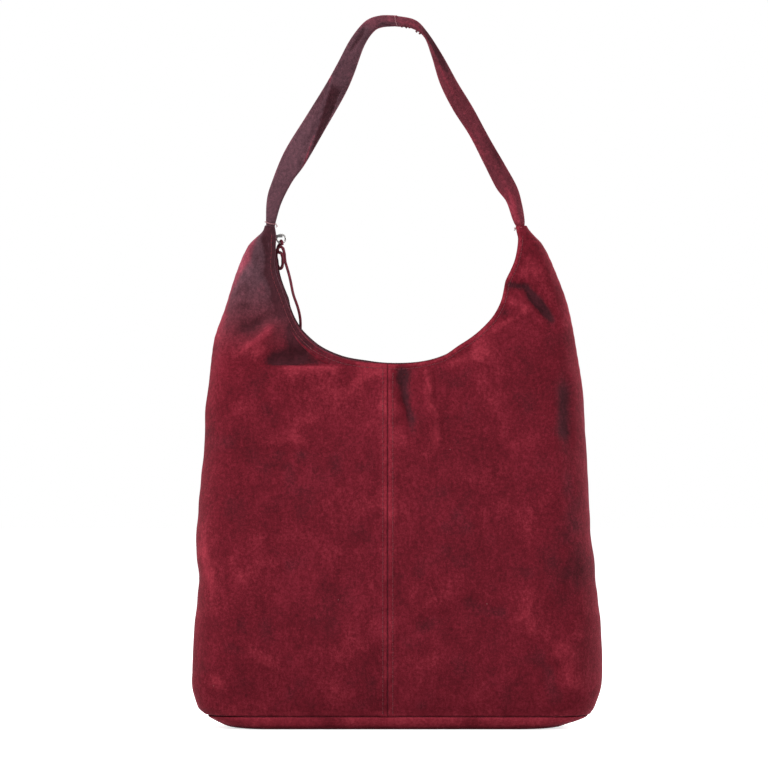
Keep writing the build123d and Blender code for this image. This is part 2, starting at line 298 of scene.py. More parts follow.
def catmull(values, at):
    """A rounded curve through evenly numbered values, read at these numbers."""
    y = np.concatenate([[2 * values[0] - values[1]], values, [2 * values[-1] - values[-2]]])
    i = np.clip(np.floor(at).astype(int), 0, len(values) - 2)
    t = at - i
    a, b, c, d = y[i], y[i + 1], y[i + 2], y[i + 3]
    return 0.5 * (2 * b + (c - a) * t + (2 * a - 5 * b + 4 * c - d) * t**2 + (3 * b - a - 3 * c + d) * t**3)


def smooth_path(points, count):
    """A rounded path through given points, as this many places along it."""
    points = np.array(points, float)
    at = np.linspace(0, len(points) - 1, count)
    return np.stack([catmull(column, at) for column in points.T], axis=1)


ODD_WAY = (0.31, 0.52, 0.79)  # a direction that no path here runs in


def tube_mesh(paths, radius, sides=8, closed=False):
    """Round tubes along paths, as points and faces. The radius is one number, or one for each place."""
    points = []
    faces = []
    for path in paths:
        path = np.asarray(path, float)
        ahead = np.roll(path, -1, axis=0) - np.roll(path, 1, axis=0)
        if not closed:
            ahead[0] = path[1] - path[0]
            ahead[-1] = path[-1] - path[-2]
        ahead /= np.linalg.norm(ahead, axis=1)[:, None]
        side_way = np.cross(ahead[0], ODD_WAY)
        start = len(points)
        for k, (place, way) in enumerate(zip(path, ahead)):
            side_way = side_way - way * np.dot(side_way, way)
            side_way = side_way / np.linalg.norm(side_way)
            up = np.cross(way, side_way)
            r = radius if np.isscalar(radius) else radius[k]
            for turn in range(sides):
                angle = 2 * math.pi * turn / sides
                points.append(place + r * (math.cos(angle) * side_way + math.sin(angle) * up))
        rows = len(path)
        faces += grid_faces(rows, sides, closed=True, start=start)
        if closed:
            last = start + (rows - 1) * sides
            for c in range(sides):
                d = (c + 1) % sides
                faces.append((last + c, last + d, start + d, start + c))
        else:
            faces.append(tuple(start + c for c in reversed(range(sides))))
            faces.append(tuple(start + (rows - 1) * sides + c for c in range(sides)))
    return points, faces


STITCH_SHAPE = [(-1, 0.15), (-0.85, 0.7), (-0.4, 1), (0.4, 1), (0.85, 0.7), (1, 0.15)]


def stitches(path, out, pitch, length, radius, sink):
    """Short bumps of thread in a row along a path on a surface, whose outward directions are given."""
    path = np.asarray(path, float)
    out = np.asarray(out, float)
    gaps = np.linalg.norm(np.diff(path, axis=0), axis=1)
    run = np.concatenate([[0], np.cumsum(gaps)])
    paths = []
    for middle in np.arange(pitch / 2, run[-1], pitch):
        ends = []
        for share, rise in STITCH_SHAPE:
            at = np.clip(middle + share * length / 2, 0, run[-1])
            place = np.array([np.interp(at, run, path[:, k]) for k in range(3)])
            way = np.array([np.interp(at, run, out[:, k]) for k in range(3)])
            ends.append(place + way * (rise * radius - sink))
        paths.append(ends)
    return paths


# ---- materials ----


class Graph:
    """A material's nodes, with short ways to add the ones used here."""

    def __init__(self, name):
        self.material = bpy.data.materials.new(name)
        self.material.use_nodes = True
        self.nodes = self.material.node_tree.nodes
        self.links = self.material.node_tree.links
        self.shader = self.nodes["Principled BSDF"]
        self.place = self.nodes.new("ShaderNodeTexCoord").outputs["Object"]

    def put(self, node, name, value):
        """Sets an input to a value, or links it to another node's output."""
        if isinstance(value, bpy.types.NodeSocket):
            self.links.new(value, node.inputs[name])
        else:
            node.inputs[name].default_value = value
    def add(self, kind, inputs, **settings):
        """A new node with these settings, each of its inputs a value or another node's output."""
        node = self.nodes.new("ShaderNode" + kind)
        for name, value in settings.items():
            setattr(node, name, value)
        for name, value in inputs.items():
            self.put(node, name, value)
        return node

    def set(self, **values):
        """Sets the shader's own inputs."""
        for name, value in values.items():
            self.put(self.shader, name.replace("_", " "), value)

    def stretched(self, scale):
        return self.add("Mapping", {"Vector": self.place, "Scale": scale}).outputs["Vector"]

    def noise(self, scale, detail=3, roughness=0.5, distortion=0, place=None):
        grain = {"Scale": scale, "Detail": detail, "Roughness": roughness, "Distortion": distortion}
        return self.add("TexNoise", {"Vector": place or self.place, **grain}).outputs["Fac"]

    def cells(self, scale):
        return self.add("TexVoronoi", {"Vector": self.place, "Scale": scale}).outputs["Distance"]

    def wave(self, scale, direction, distortion=0, place=None):
        inputs = {"Vector": place or self.place, "Scale": scale, "Distortion": distortion}
        return self.add("TexWave", inputs, bands_direction=direction).outputs["Fac"]

    def math(self, kind, a, b):
        return self.add("Math", {0: a, 1: b}, operation=kind).outputs[0]

    def total(self, *layers):
        """Values added up, each times its share."""
        total, *parts = [self.math("MULTIPLY", value, share) for value, share in layers]
        for part in parts:
            total = self.math("ADD", total, part)
        return total

    def span(self, value, low, high, to_low=0.0, to_high=1.0):
        """The value carried from one range to another, softly and no further."""
        inputs = {"Value": value, "From Min": low, "From Max": high, "To Min": to_low, "To Max": to_high}
        return self.add("MapRange", inputs, interpolation_type="SMOOTHSTEP").outputs["Result"]

    def stored(self, name):
        return self.add("Attribute", {}, attribute_name=name).outputs["Fac"]

    def axis(self, name):
        return self.add("SeparateXYZ", {"Vector": self.place}).outputs[name]

    def mix(self, share, a, b):
        return self.add("Mix", {0: share, 6: a, 7: b}, data_type="RGBA").outputs[2]

    def ramp(self, value, stops):
        node = self.add("ValToRGB", {"Fac": value})
        elements = node.color_ramp.elements
        for _ in stops[2:]:
            elements.new(0.5)
        for element, (position, color) in zip(elements, stops):
            element.position = position
            element.color = (*color, 1)
        return node.outputs["Color"]

    def bump(self, height, strength, distance, under=None):
        inputs = {"Height": height, "Strength": strength, "Distance": distance}
        if under is not None:
            inputs["Normal"] = under
        return self.add("Bump", inputs).outputs["Normal"]


# Suede colours, from dark to light: as dyed; greyer, a painted sheen where the nap lies another way;
# painted shade for folds, painted highlights for ridges and edges, and those highlights on the greyer
# sheen.
DYED = [(0.070, 0.0040, 0.0085), (0.135, 0.0080, 0.0165), (0.225, 0.016, 0.032)]
MAUVE = [(0.055, 0.022, 0.030), (0.099, 0.043, 0.056), (0.168, 0.066, 0.087)]
PAINTED_SHADE = [(0.024, 0.0062, 0.0088), (0.046, 0.0110, 0.0160), (0.080, 0.017, 0.026)]
PAINTED_HIGHLIGHT = [(0.150, 0.010, 0.020), (0.260, 0.020, 0.036), (0.420, 0.045, 0.068)]
PAINTED_HIGHLIGHT_MAUVE = [(0.130, 0.019, 0.032), (0.235, 0.036, 0.060), (0.370, 0.070, 0.105)]
TONE_STOPS = (0.38, 0.50, 0.62)
LINT = (0.42, 0.25, 0.24)


def suede(name, mauve, highlight_lift=0.0):
    """Brushed suede: cloudy nap, short hairs, stray lint, and painted shade and highlights.
    mauve(graph) gives where a greyer painted sheen goes.
    """
    g = Graph(name)
    clouds = g.noise(17, 3, 0.55, 0.7)
    patches = g.noise(60, 4, 0.6, 0.4, g.stretched((1, 1, 0.6)))
    strokes = g.noise(240, 3, 0.6, 0.8, g.stretched((1, 1, 0.45)))
    mottle = g.noise(360, 4, 0.75)
    grain = g.noise(1100, 3, 0.65)
    hairs = g.noise(3200, 2, 0.6)
    tone = g.total((clouds, 0.16), (patches, 0.16), (strokes, 0.12), (mottle, 0.36), (grain, 0.20))
    shades = (DYED, MAUVE, PAINTED_SHADE, PAINTED_HIGHLIGHT, PAINTED_HIGHLIGHT_MAUVE)
    dyed, greyer, shaded, lit, lit_greyer = [g.ramp(tone, list(zip(TONE_STOPS, shade))) for shade in shades]
    # Painted light: the stored values, with the last argument added all over, give painted shade below 0
    # and painted highlights above 0; the sheen is weaker where shade is painted.
    nap_and_painted_light = g.math("ADD", g.stored("nap_and_painted_light"), highlight_lift)
    nap_and_painted_light = g.math("ADD", nap_and_painted_light, g.span(tone, 0.3, 0.7, -0.25, 0.25))
    shade_share = g.span(nap_and_painted_light, 0.0, -1.2, 0.0, 0.9)
    where = mauve(g)
    highlights = g.mix(where, lit, lit_greyer)
    color = g.mix(g.span(nap_and_painted_light, 0.0, 1.2, 0.0, 0.85), g.mix(where, dyed, greyer), highlights)
    color = g.mix(shade_share, color, shaded)
    speck = g.span(g.cells(95), 0.035, 0.015)
    rare = g.span(g.noise(47, 0), 0.70, 0.74)
    color = g.mix(g.math("MULTIPLY", speck, rare), color, (*LINT, 1))
    g.set(Base_Color=color, Roughness=0.92, Specular_IOR_Level=0.12)
    sheen = g.math("SUBTRACT", 0.55, g.math("MULTIPLY", shade_share, 0.5))
    g.set(Sheen_Weight=sheen, Sheen_Roughness=0.2, Sheen_Tint=(1.0, 0.30, 0.40, 1))
    soft = g.bump(strokes, 0.22, 0.0012)
    fine = g.bump(grain, 0.5, 0.0005, soft)
    g.set(Normal=g.bump(hairs, 0.45, 0.0002, fine))
    return g.material


def horn_mauve(g):
    """A greyer tint painted on the left horn: a painted sheen where the nap lies another way."""
    up = g.span(g.axis("Z"), 0.335, 0.43)
    left = g.span(g.axis("X"), -0.045, -0.105)
    return g.math("MULTIPLY", up, left)


# A greyer painted sheen over the strap, strongest on its left half.
def strap_mauve(g):
    return g.span(g.axis("X"), 0.05, -0.03, 0.38, 1.0)


def lining_cloth():
    """Dark twill."""
    g = Graph("lining_twill")
    slant = g.add("Mapping", {"Vector": g.place, "Rotation": (0, math.radians(45), 0)})
    twill = g.wave(420, "X", 0.3, slant.outputs["Vector"])
    weft = g.wave(560, "Z", 0.2)
    shade = g.total((twill, 0.5), (g.noise(25, 3), 0.5))
    color = g.ramp(shade, [(0.25, (0.012, 0.006, 0.007)), (0.75, (0.040, 0.017, 0.020))])
    g.set(Base_Color=color, Roughness=0.8, Specular_IOR_Level=0.25)
    g.set(Sheen_Weight=0.08, Sheen_Roughness=0.5, Sheen_Tint=(1.0, 0.6, 0.62, 1))
    g.set(Normal=g.bump(weft, 0.25, 0.0002, g.bump(twill, 0.4, 0.0003)))
    return g.material


def tape_cloth():
    """The zip's woven tape, tight and matt."""
    g = Graph("zip_tape_weave")
    ribs = g.cells(900)
    shade = g.total((ribs, 0.5), (g.noise(120, 3), 0.5))
    color = g.ramp(shade, [(0.2, (0.040, 0.0085, 0.0135)), (0.8, (0.080, 0.018, 0.027))])
    g.set(Base_Color=color, Roughness=0.95, Specular_IOR_Level=0.05)
    g.set(Normal=g.bump(ribs, 0.6, 0.0003))
    return g.material


def coil_plastic():
    g = Graph("zip_coil_nylon")
    scuffs = g.noise(300, 3)
    color = g.ramp(scuffs, [(0.3, (0.045, 0.009, 0.014)), (0.7, (0.085, 0.018, 0.027))])
    g.set(Base_Color=color, Roughness=g.span(scuffs, 0.3, 0.7, 0.5, 0.7), Specular_IOR_Level=0.06)
    g.set(Normal=g.bump(scuffs, 0.15, 0.0001))
    return g.material


def plated_metal(name, dark, light):
    """Plate with fine scratches and slight tarnish."""
    g = Graph(name)
    scratches = g.noise(1500, 2, 0.6, 0, g.stretched((1, 1, 0.15)))
    tarnish = g.noise(140, 4, 0.6)
    color = g.ramp(tarnish, [(0.35, dark), (0.65, light)])
    g.set(Base_Color=color, Metallic=1.0, Roughness=g.span(tarnish, 0.3, 0.7, 0.34, 0.5))
    g.set(Normal=g.bump(scratches, 0.12, 0.0001))
    return g.material


def pressed_board():
    g = Graph("pressed_board")
    fibres = g.noise(500, 4, 0.7, 0.5)
    color = g.ramp(fibres, [(0.3, (0.10, 0.075, 0.055)), (0.7, (0.17, 0.13, 0.10))])
    g.set(Base_Color=color, Roughness=0.75)
    g.set(Normal=g.bump(fibres, 0.3, 0.0003))
    return g.material


def thread(name, dark, light):
    """Twisted sewing thread."""
    g = Graph(name)
    share = g.total((g.wave(900, "DIAGONAL", 0.2), 0.6), (g.noise(2200, 2), 0.4))
    g.set(Base_Color=g.ramp(share, [(0.2, dark), (0.8, light)]), Roughness=0.7, Specular_IOR_Level=0.2)
    g.set(Sheen_Weight=0.3, Sheen_Roughness=0.4)
    g.set(Normal=g.bump(share, 0.4, 0.0001))
    return g.material


BODY_SUEDE = suede("suede_body", horn_mauve)
# The lace takes the greyer painted sheen in part, and is lifted all over towards the painted highlight
# colours.
LACE_SUEDE = suede("suede_lace", lambda g: 0.65, 0.6)
STRAP_SUEDE = suede("suede_strap", strap_mauve)
LINING = lining_cloth()
TAPE = tape_cloth()
COIL = coil_plastic()
METAL = plated_metal("nickel_plate", (0.36, 0.35, 0.34), (0.56, 0.54, 0.53))
DARK_METAL = plated_metal("gunmetal_plate", (0.26, 0.25, 0.25), (0.42, 0.40, 0.39))
BOARD = pressed_board()
RED_THREAD = thread("thread_red", (0.11, 0.012, 0.019), (0.22, 0.032, 0.047))
PALE_THREAD = thread("thread_pale", (0.26, 0.09, 0.11), (0.46, 0.22, 0.24))


# ---- the shell's surface ----


def half_width(z, hand):
    return smooth(LEFT_SIDE if hand == LEFT else RIGHT_SIDE, z)


def half_depth(z):
    return smooth(DEPTH, z)


def corner(depth):
    """The rounding of the shell's upright corners: a share of the depth, softly kept under a limit."""
    return (CORNER_MAX**-4.0 + (CORNER_SHARE * depth) ** -4.0) ** -0.25


def way_round(wide, deep, c):
    """The way round a quarter of an outline with a corner of radius c, from its face to its side."""
    return wide - c + math.pi / 2 * c + deep - c


def on_quarter(p, wide, deep, c):
    """X and Y this far round such a quarter, and past its end straight on."""
    turn = np.clip((p - (wide - c)) / c, 0, math.pi / 2)
    past = np.maximum(p - (wide - c) - math.pi / 2 * c, 0)
    x = np.where(p < wide - c, p, wide - c + c * np.sin(turn))
    y = deep - c + c * np.cos(turn) - past
    return x, y


def half_girth(z, hand):
    """The way round the shell from the middle of a face to the side seam."""
    deep = half_depth(z)
    return way_round(half_width(z, hand), deep, corner(deep))


def on_shell(p, z, side, hand):
    """The point this far round from the middle of a face, at this height."""
    deep = half_depth(z)
    x, y = on_quarter(p, half_width(z, hand), deep, corner(deep))
    return np.stack([x * hand, y * side, z + 0 * x], axis=-1)


def rim_radius(degrees, side):
    radius = smooth(FRONT_RIM, degrees)
    return radius + (BACK_RIM_LOWER if side == BACK else 0)


RIM_POINTS = 240
TIP_POINTS = 12


def rim_line(side, hand, lower):
    """The edge of a panel's mouth as (way round, height), from seam to tip, this far below the rim."""
    seam_degrees = math.degrees(math.asin(SEAM_X * hand / MOUTH_RADIUS))
    degrees = np.linspace(seam_degrees, 90, RIM_POINTS)
    angle = np.radians(degrees)
    radius = rim_radius(degrees * hand, side) + lower
    p = radius * np.sin(angle)
    z = MOUTH_Z - radius * np.cos(angle)
    tip_z = TIP_Z - lower
    inner = TIP_INNER[hand] + lower
    outer = half_girth(tip_z, hand)
    share = np.linspace(0, 1, TIP_POINTS)[1:]
    p = np.concatenate([p, p[-1] + (inner - p[-1]) * share, inner + (outer - inner) * share])
    z = np.concatenate([z, MOUTH_Z + (tip_z - MOUTH_Z) * share, np.full(len(share), tip_z)])
    return p, z


# Steps of the meshes, which are finest at the edges, and a panel's rough size.
FINE_STEP = 0.4
STEP_GROWTH = 1.35
SUEDE_STEP = 2.3
LINING_STEP = 4.5
PANEL_WIDTH = 215
PANEL_HEIGHT = 380


def panel_grid(side, hand, coarse, lower):
    """Places over a panel as (way round, height): rows from the foot up, columns from the seam out."""
    line_p, line_z = rim_line(side, hand, lower)
    run = np.concatenate([[0], np.cumsum(np.hypot(np.diff(line_p), np.diff(line_z)))])
    w = spacing(PANEL_WIDTH, FINE_STEP, coarse, STEP_GROWTH)
    v = spacing(PANEL_HEIGHT, FINE_STEP, coarse, STEP_GROWTH)[:, None]
    top_p = np.interp(w * run[-1], run, line_p)
    top_z = np.interp(w * run[-1], run, line_z)
    seam = SEAM_X * hand
    top_share = (top_p - seam) / (half_girth(top_z, hand) - seam)
    z = FOOT + (top_z - FOOT) * v
    share = w + (top_share - w) * v
    p = seam + share * (half_girth(z, hand) - seam)
    return p, z


def grid_normals(points):
    """Outward directions of a grid of points, whichever way its rows and columns run."""
    up = np.gradient(points, axis=0)
    along = np.gradient(points, axis=1)
    normal = np.cross(along, up)
    normal /= np.linalg.norm(normal, axis=-1)[..., None] + 1e-9
    return normal


def shell_face(p, z, side, hand):
    """The plain shell at these places, with its outward directions."""
    base = on_shell(p, z, side, hand)
    return base, grid_normals(base) * (1 if side * hand < 0 else -1)


def crease(x, z, start, end, width, height):
    """A soft ridge along a line, or a valley where the height is negative, that fades at its ends."""
    dx = end[0] - start[0]
    dz = end[1] - start[1]
    along = ((x - start[0]) * dx + (z - start[1]) * dz) / (dx * dx + dz * dz)
    near = np.clip(along, 0, 1)
    away = np.hypot(x - start[0] - near * dx, z - start[1] - near * dz)
    fade = ease(-0.15, 0.3, along) * ease(1.15, 0.7, along)
    return height * fade * bell(away, width)


def tucked_fold(x, z, start, end, drop, lip, reach_up, reach_down):
    """A fold with a sharp lower lip: the cloth sinks down to the line, then steps out below it."""
    dx = end[0] - start[0]
    dz = end[1] - start[1]
    length = math.hypot(dx, dz)
    along = ((x - start[0]) * dx + (z - start[1]) * dz) / length**2
    above = ((z - start[1]) * dx - (x - start[0]) * dz) / length
    fade = ease(-0.1, 0.35, along) * ease(1.1, 0.5, along)
    below = 0.5 * (1 - np.tanh(above / 1.4))
    shaded = -drop * np.exp(-np.maximum(above, 0) / reach_up)
    proud = lip * np.exp(np.minimum(above, 0) / reach_down)
    return fade * (below * proud + (1 - below) * shaded)


# Folds of the front: start, end, width and height, in millimetres of X and Z.
FRONT_CREASES = [
    ((2, 348), (15, 274), 4.6, -5.0),
    ((24, 340), (34, 300), 4.5, 3.2),
    ((32, 306), (40, 262), 4.5, 2.8),
    ((-123, 492), (-113, 410), 6.0, -6.0),
    ((-120, 440), (-105, 374), 4.6, -4.6),
    ((-136, 446), (-117, 410), 4.0, -2.4),
    ((-156, 364), (-104, 386), 6.0, -3.2),
    ((-152, 344), (-110, 373), 5.0, 4.6),
    ((-124, 343), (-78, 347), 8.5, -5.2),
    ((-102, 376), (-90, 344), 6.5, -3.8),
    ((-82, 362), (-86, 342), 4.0, -2.4),
    ((97, 413), (124, 407), 2.6, -3.6),
    ((119, 411), (147, 378), 3.4, -5.6),
    ((96, 399), (130, 387), 5.0, 3.4),
    ((156, 332), (156, 256), 8.0, -3.6),
    ((157, 262), (158, 186), 8.0, -1.4),
    ((-122, 268), (-48, 262), 5.5, 1.6),
    ((-120, 258), (-54, 253), 4.0, -1.2),
    ((-118, 178), (-97, 142), 6.0, -1.6),
    ((-134, 129), (-96, 112), 6.0, 1.0),
    ((-158, 92), (-110, 56), 5.0, 2.0),
    ((52, 138), (124, 102), 9.0, 1.7),
    ((104, 114), (158, 66), 10.0, 2.0),
    ((147, 82), (168, 32), 10.0, 2.1),
    ((-10, 78), (76, 117), 9.0, -1.7),
    ((60, 115), (110, 108), 9.0, -1.6),
    ((94, 116), (138, 73), 9.0, -2.0),
    ((127, 88), (150, 26), 9.0, -2.2),
]

# Painted highlights on the front, and painted shade for those below 0: start, end, width and how much.
FRONT_PAINTED_LIGHT = [
    ((-172, 344), (-154, 410), 3.8, 0.9),
    ((-157, 398), (-129, 460), 4.0, 1.0),
    ((-120, 464), (-111, 405), 4.6, -1.0),
    ((-112, 405), (-98, 372), 4.0, -0.9),
    ((-152, 388), (-122, 376), 10.0, -0.4),
    ((-150, 424), (-130, 398), 12.0, -0.35),
    ((-158, 389), (-118, 391), 3.2, -0.5),
    ((-97, 374), (-90, 348), 7.5, -0.8),
    ((122, 410), (149, 374), 4.0, -0.8),
    ((96, 412), (122, 409), 3.0, -0.5),
    ((155, 322), (156, 268), 9.0, -0.35),
    ((158, 236), (164, 120), 11.0, -0.35),
    ((-98, 306), (-34, 302), 24.0, 0.35),
    ((-46, 313), (-12, 336), 5.5, 1.0),
    ((-44, 333), (-2, 333), 6.5, 0.8),
    ((88, 369), (128, 393), 3.0, 0.8),
    ((68, 350), (96, 376), 5.0, 0.5),
    ((42, 335), (94, 352), 6.0, 0.8),
    ((-134, 356), (-126, 346), 6.0, 0.8),
    ((-112, 330), (-50, 330), 7.0, 0.35),
    ((126, 430), (148, 400), 6.0, 0.5),
    ((110, 456), (134, 412), 11.0, 0.6),
    ((-170, 54), (-156, 34), 5.0, 0.8),
    ((-178, 174), (-166, 122), 4.0, 0.9),
    ((-56, 94), (-34, 58), 17.0, 0.35),
    ((-12, 216), (-2, 198), 6.0, 0.5),
]
# The long tucked fold: its line, then its drop, lip and reach up and down, for the shape and for
# the painted shade above the line and the painted highlight on its lip.
TUCKED_LINE = ((-126, 337.5), (-36, 335))
TUCKED_SHAPE = (7.5, 3.6, 20, 17)
TUCKED_PAINTED_LIGHT = (1.1, 2.2, 12, 2.6)
# Painted shade along the rim's left part, and a painted highlight along the rest of it.
RIM_PAINTED_SHADE = -0.9
RIM_PAINTED_HIGHLIGHT = 1.0

# Folds of the back, which is plainer.
BACK_CREASES = [
    ((8, 338), (-2, 276), 6.0, -2.6),
    ((-60, 352), (-108, 392), 7.0, 2.0),
    ((62, 352), (112, 396), 7.0, 2.0),
    ((-150, 250), (-160, 110), 13.0, -1.8),
    ((146, 330), (160, 210), 12.0, -2.0),
    ((-110, 130), (-174, 40), 14.0, 2.0),
    ((110, 120), (172, 44), 14.0, 1.8),
    ((-40, 60), (30, 30), 16.0, -1.4),
]
CREASES = {FRONT: FRONT_CREASES, BACK: BACK_CREASES}
CREASE_FOR_PAINTED_LIGHT = 4.2  # height of a crease that gives 1 of painted highlight, or of painted shade for a valley
BELLY_OUT = 3.0
BELLY_Z = 110
BELLY_SPREAD = 90

# Random bumps, as layers of height, size and seed.
SAG = [(2.6, 74, 3), (1.5, 33, 7), (0.5, 14, 11)]
CLOUDS = [(0.32, 30, 15), (0.28, 11, 17)]
WANDER_X = [(2.4, 19, 81), (1.0, 8, 83)]
WANDER_Z = [(2.4, 19, 85), (1.0, 8, 87)]
STRAP_DENTS = [(0.5, 17, 0), (0.22, 6, 1)]


def wandering(x, z):
    """Places moved a little at random, so that straight folds wander."""
    return x + layered(x, z, WANDER_X), z + layered(x, z, WANDER_Z)


def relief(side, x, z, side_away):
    """How far folds and sag carry the suede out of the plain shell."""
    quiet = ease(0, 26, z - FOOT) * ease(0, 18, side_away) * ease(430, 370, z)
    height = layered(x, z, SAG, side) * (0.25 + 0.75 * quiet)
    fold_x, fold_z = wandering(x, z)
    for fold in CREASES[side]:
        height = height + crease(fold_x, fold_z, *fold)
    if side == FRONT:
        height = height + tucked_fold(x, z, *TUCKED_LINE, *TUCKED_SHAPE)
    belly = BELLY_OUT * bell(z - BELLY_Z, BELLY_SPREAD) * ease(0, 60, side_away)
    stiff = 0.1 + 0.9 * ease(3, 17, rim_away(x, z, side))
    held = ease(TIP_Z, TIP_Z - TIP_FADE, z) * ease(0, 9, z - FOOT) * ease(0, 15, side_away)
    return (height + belly) * stiff * held


def panel_nap_and_painted_light(side, x, z, seam_away, side_away):
    """Painted light over a panel, with random tone of the nap: painted shade in valleys and in the seam,
    painted highlights on ridges, side edges and near the foot, and a lighter band beside the seam.
    """
    value = layered(x, z, CLOUDS, side)
    fold_x, fold_z = wandering(x, z)
    for fold in CREASES[side]:
        value = value + crease(fold_x, fold_z, *fold) / CREASE_FOR_PAINTED_LIGHT
    if side == FRONT:
        for painted_stroke in FRONT_PAINTED_LIGHT:
            value = value + crease(fold_x, fold_z, *painted_stroke)
        value = value + tucked_fold(x, z, *TUCKED_LINE, *TUCKED_PAINTED_LIGHT)
        at_rim = RIM_PAINTED_SHADE + (RIM_PAINTED_HIGHLIGHT - RIM_PAINTED_SHADE) * ease(-72, -36, x)
        value = value + at_rim * ease(5.5, 1, rim_away(x, z, side))
    # A lighter band beside the middle seam, and painted highlights along the side edges.
    seam_band = 0.6 + 0.3 * lumps(x, z, 17, 19)
    value = value + 0.7 * ease(12, 2, side_away) + seam_band * bell(seam_away, 6.5)
    # A painted highlight near the foot for light thrown up from the floor, and painted shade where the seam
    # turns in.
    value = value + 0.5 * ease(FOOT + 9, FOOT + 2, z)
    return value - 0.5 * tuck(seam_away) / TUCK


def rim_away(x, z, side):
    """How far a point lies from the mouth's edge."""
    below = np.maximum(MOUTH_Z - z, 0)
    degrees = np.degrees(np.arctan2(x, below + 1e-6))
    return np.hypot(x, below) - rim_radius(np.clip(degrees, -90, 90), side)


def seam_shape(x, z, side, seam_away, side_away):
    """The small shapes along seams: turned allowances, rows of stitching, puckers and the hem."""
    height = 0.5 * ease(9, 6.5, seam_away) - 0.2 * bell(seam_away - SEAM_ROW, 0.7)
    pucker = 0.22 * np.sin(2 * math.pi * z / 8.4) * bell(seam_away, 7)
    height = height + pucker * lumps(x, z, 40, 21)
    scallop = np.sin(2 * math.pi * z / 9.5 + 3 * lumps(x, z, 60, 5))
    height = height + 0.12 * scallop * bell(side_away, 6)
    away = rim_away(x, z, side)
    height = height + 0.7 * ease(HEM + 1.2, HEM - 1.2, away) - 0.45 * bell(away - HEM_ROW, 0.7)
    ripple = 0.25 * np.sin(away * 0.3 + x / 2.6) * bell(away - HEM_ROW, 5)
    return height + ripple * lumps(x, z, 22, 9)


def tuck(away):
    """How deep an edge is turned in, this far from it."""
    inside = np.clip((TUCK - away) / TUCK, 0, 1)
    return TUCK * (1 - np.sqrt(1 - inside**2))


def outer_surface(side, hand):
    """The suede's outer face on one panel, its outward directions and its painted light, with the nap's
    random tone.
    """
    p, z = panel_grid(side, hand, SUEDE_STEP, ROLL)
    base, out = shell_face(p, z, side, hand)
    seam_away = p - SEAM_X * hand
    side_away = half_girth(z, hand) - p
    x = base[..., 0]
    below_tip = ease(TIP_Z, TIP_Z - TIP_FADE, z)
    height = relief(side, x, z, side_away)
    height = height + seam_shape(x, z, side, seam_away, side_away) * (0.3 + 0.7 * below_tip)
    height = height - tuck(seam_away) - tuck(side_away) - tuck(z - FOOT)
    return base + out * height[..., None], out, panel_nap_and_painted_light(side, x, z, seam_away, side_away)


ROLL_DEGREES = (30, 60, 90, 120, 150, 180)
HEM_DROPS = (2.5, 5, HEM_TURN)


def rolled_rim(points, out):
    """Adds rows that turn the rim's edge over and run down inside it."""
    top = points[-1]
    normal = out[-1]
    up = points[-1] - points[-4]
    up = up - normal * np.sum(up * normal, axis=1)[:, None]
    up /= np.linalg.norm(up, axis=1)[:, None]
    rows = []
    for degrees in ROLL_DEGREES:
        angle = math.radians(degrees)
        rows.append(top + ROLL * (up * math.sin(angle) - normal * (1 - math.cos(angle))))
    for drop in HEM_DROPS:
        rows.append(top - normal * 2 * ROLL - up * drop)
    return np.concatenate([points, np.stack(rows)])


def panel(name, side, hand):
    points, out, nap_and_painted_light = outer_surface(side, hand)
    points = rolled_rim(points, out)
    obj = sheet(name, points, side * hand > 0, BODY_SUEDE, "suede", SUEDE)
    inside = np.zeros((len(points) - len(nap_and_painted_light), nap_and_painted_light.shape[1]))
    keep_nap_and_painted_light(obj, np.concatenate([nap_and_painted_light, inside]))


def panels():
    for side, face in FACES:
        panel(f"{face}_panel_left", side, LEFT)
        panel(f"{face}_panel_right", side, RIGHT)


# ---- base ----

QUARTER_POINTS = 84


def ring(z, left, right, deep, inset=0):
    """One loop round the bag's foot, counter-clockwise from above, from the middle of the front."""
    depth = deep - inset
    c = min(corner(np.array(deep)), depth)
    loop = []
    for side, hand in ((FRONT, RIGHT), (BACK, RIGHT), (BACK, LEFT), (FRONT, LEFT)):
        wide = (left if hand == LEFT else right) - inset
        girth = way_round(wide, depth, c)
        p = np.linspace(0, girth, QUARTER_POINTS, endpoint=False)
        if side * hand > 0:
            p = girth - p
        x, y = on_quarter(p, wide, depth, c)
        loop.append(np.stack([x * hand, y * side, 0 * x + z], axis=1))
    return np.concatenate(loop)


def bowl(rings, floor_scale):
    """A closed tray from loops, carried in to its middle in a few smaller loops."""
    loops = list(rings)
    last = loops[-1]
    for scale in floor_scale:
        loops.append(last * (scale, scale, 1))
    points = np.stack(loops)
    rows, columns = points.shape[:2]
    faces = grid_faces(rows, columns, closed=True, flip=True)
    middle = rows * columns
    for c in range(columns):
        a = middle - columns + c
        b = middle - columns + (c + 1) % columns
        faces.append((b, a, middle))
    flat = np.concatenate([points.reshape(-1, 3), [[0, 0, last[0, 2]]]])
    return flat, faces


# Heights of the base's loops, then the sizes of the loops that carry it in to the middle of its floor.
BASE_HEIGHTS = np.concatenate([[12, 11.8, 11.3, 10.6, 9.8], np.linspace(8.8, 0, 12)])
BASE_LOOPS = (0.94, 0.85, 0.7, 0.5, 0.3, 0.12)
BASE_TUCK = 0.9
BASE_SWELL = [(0.9, 46, 31)]


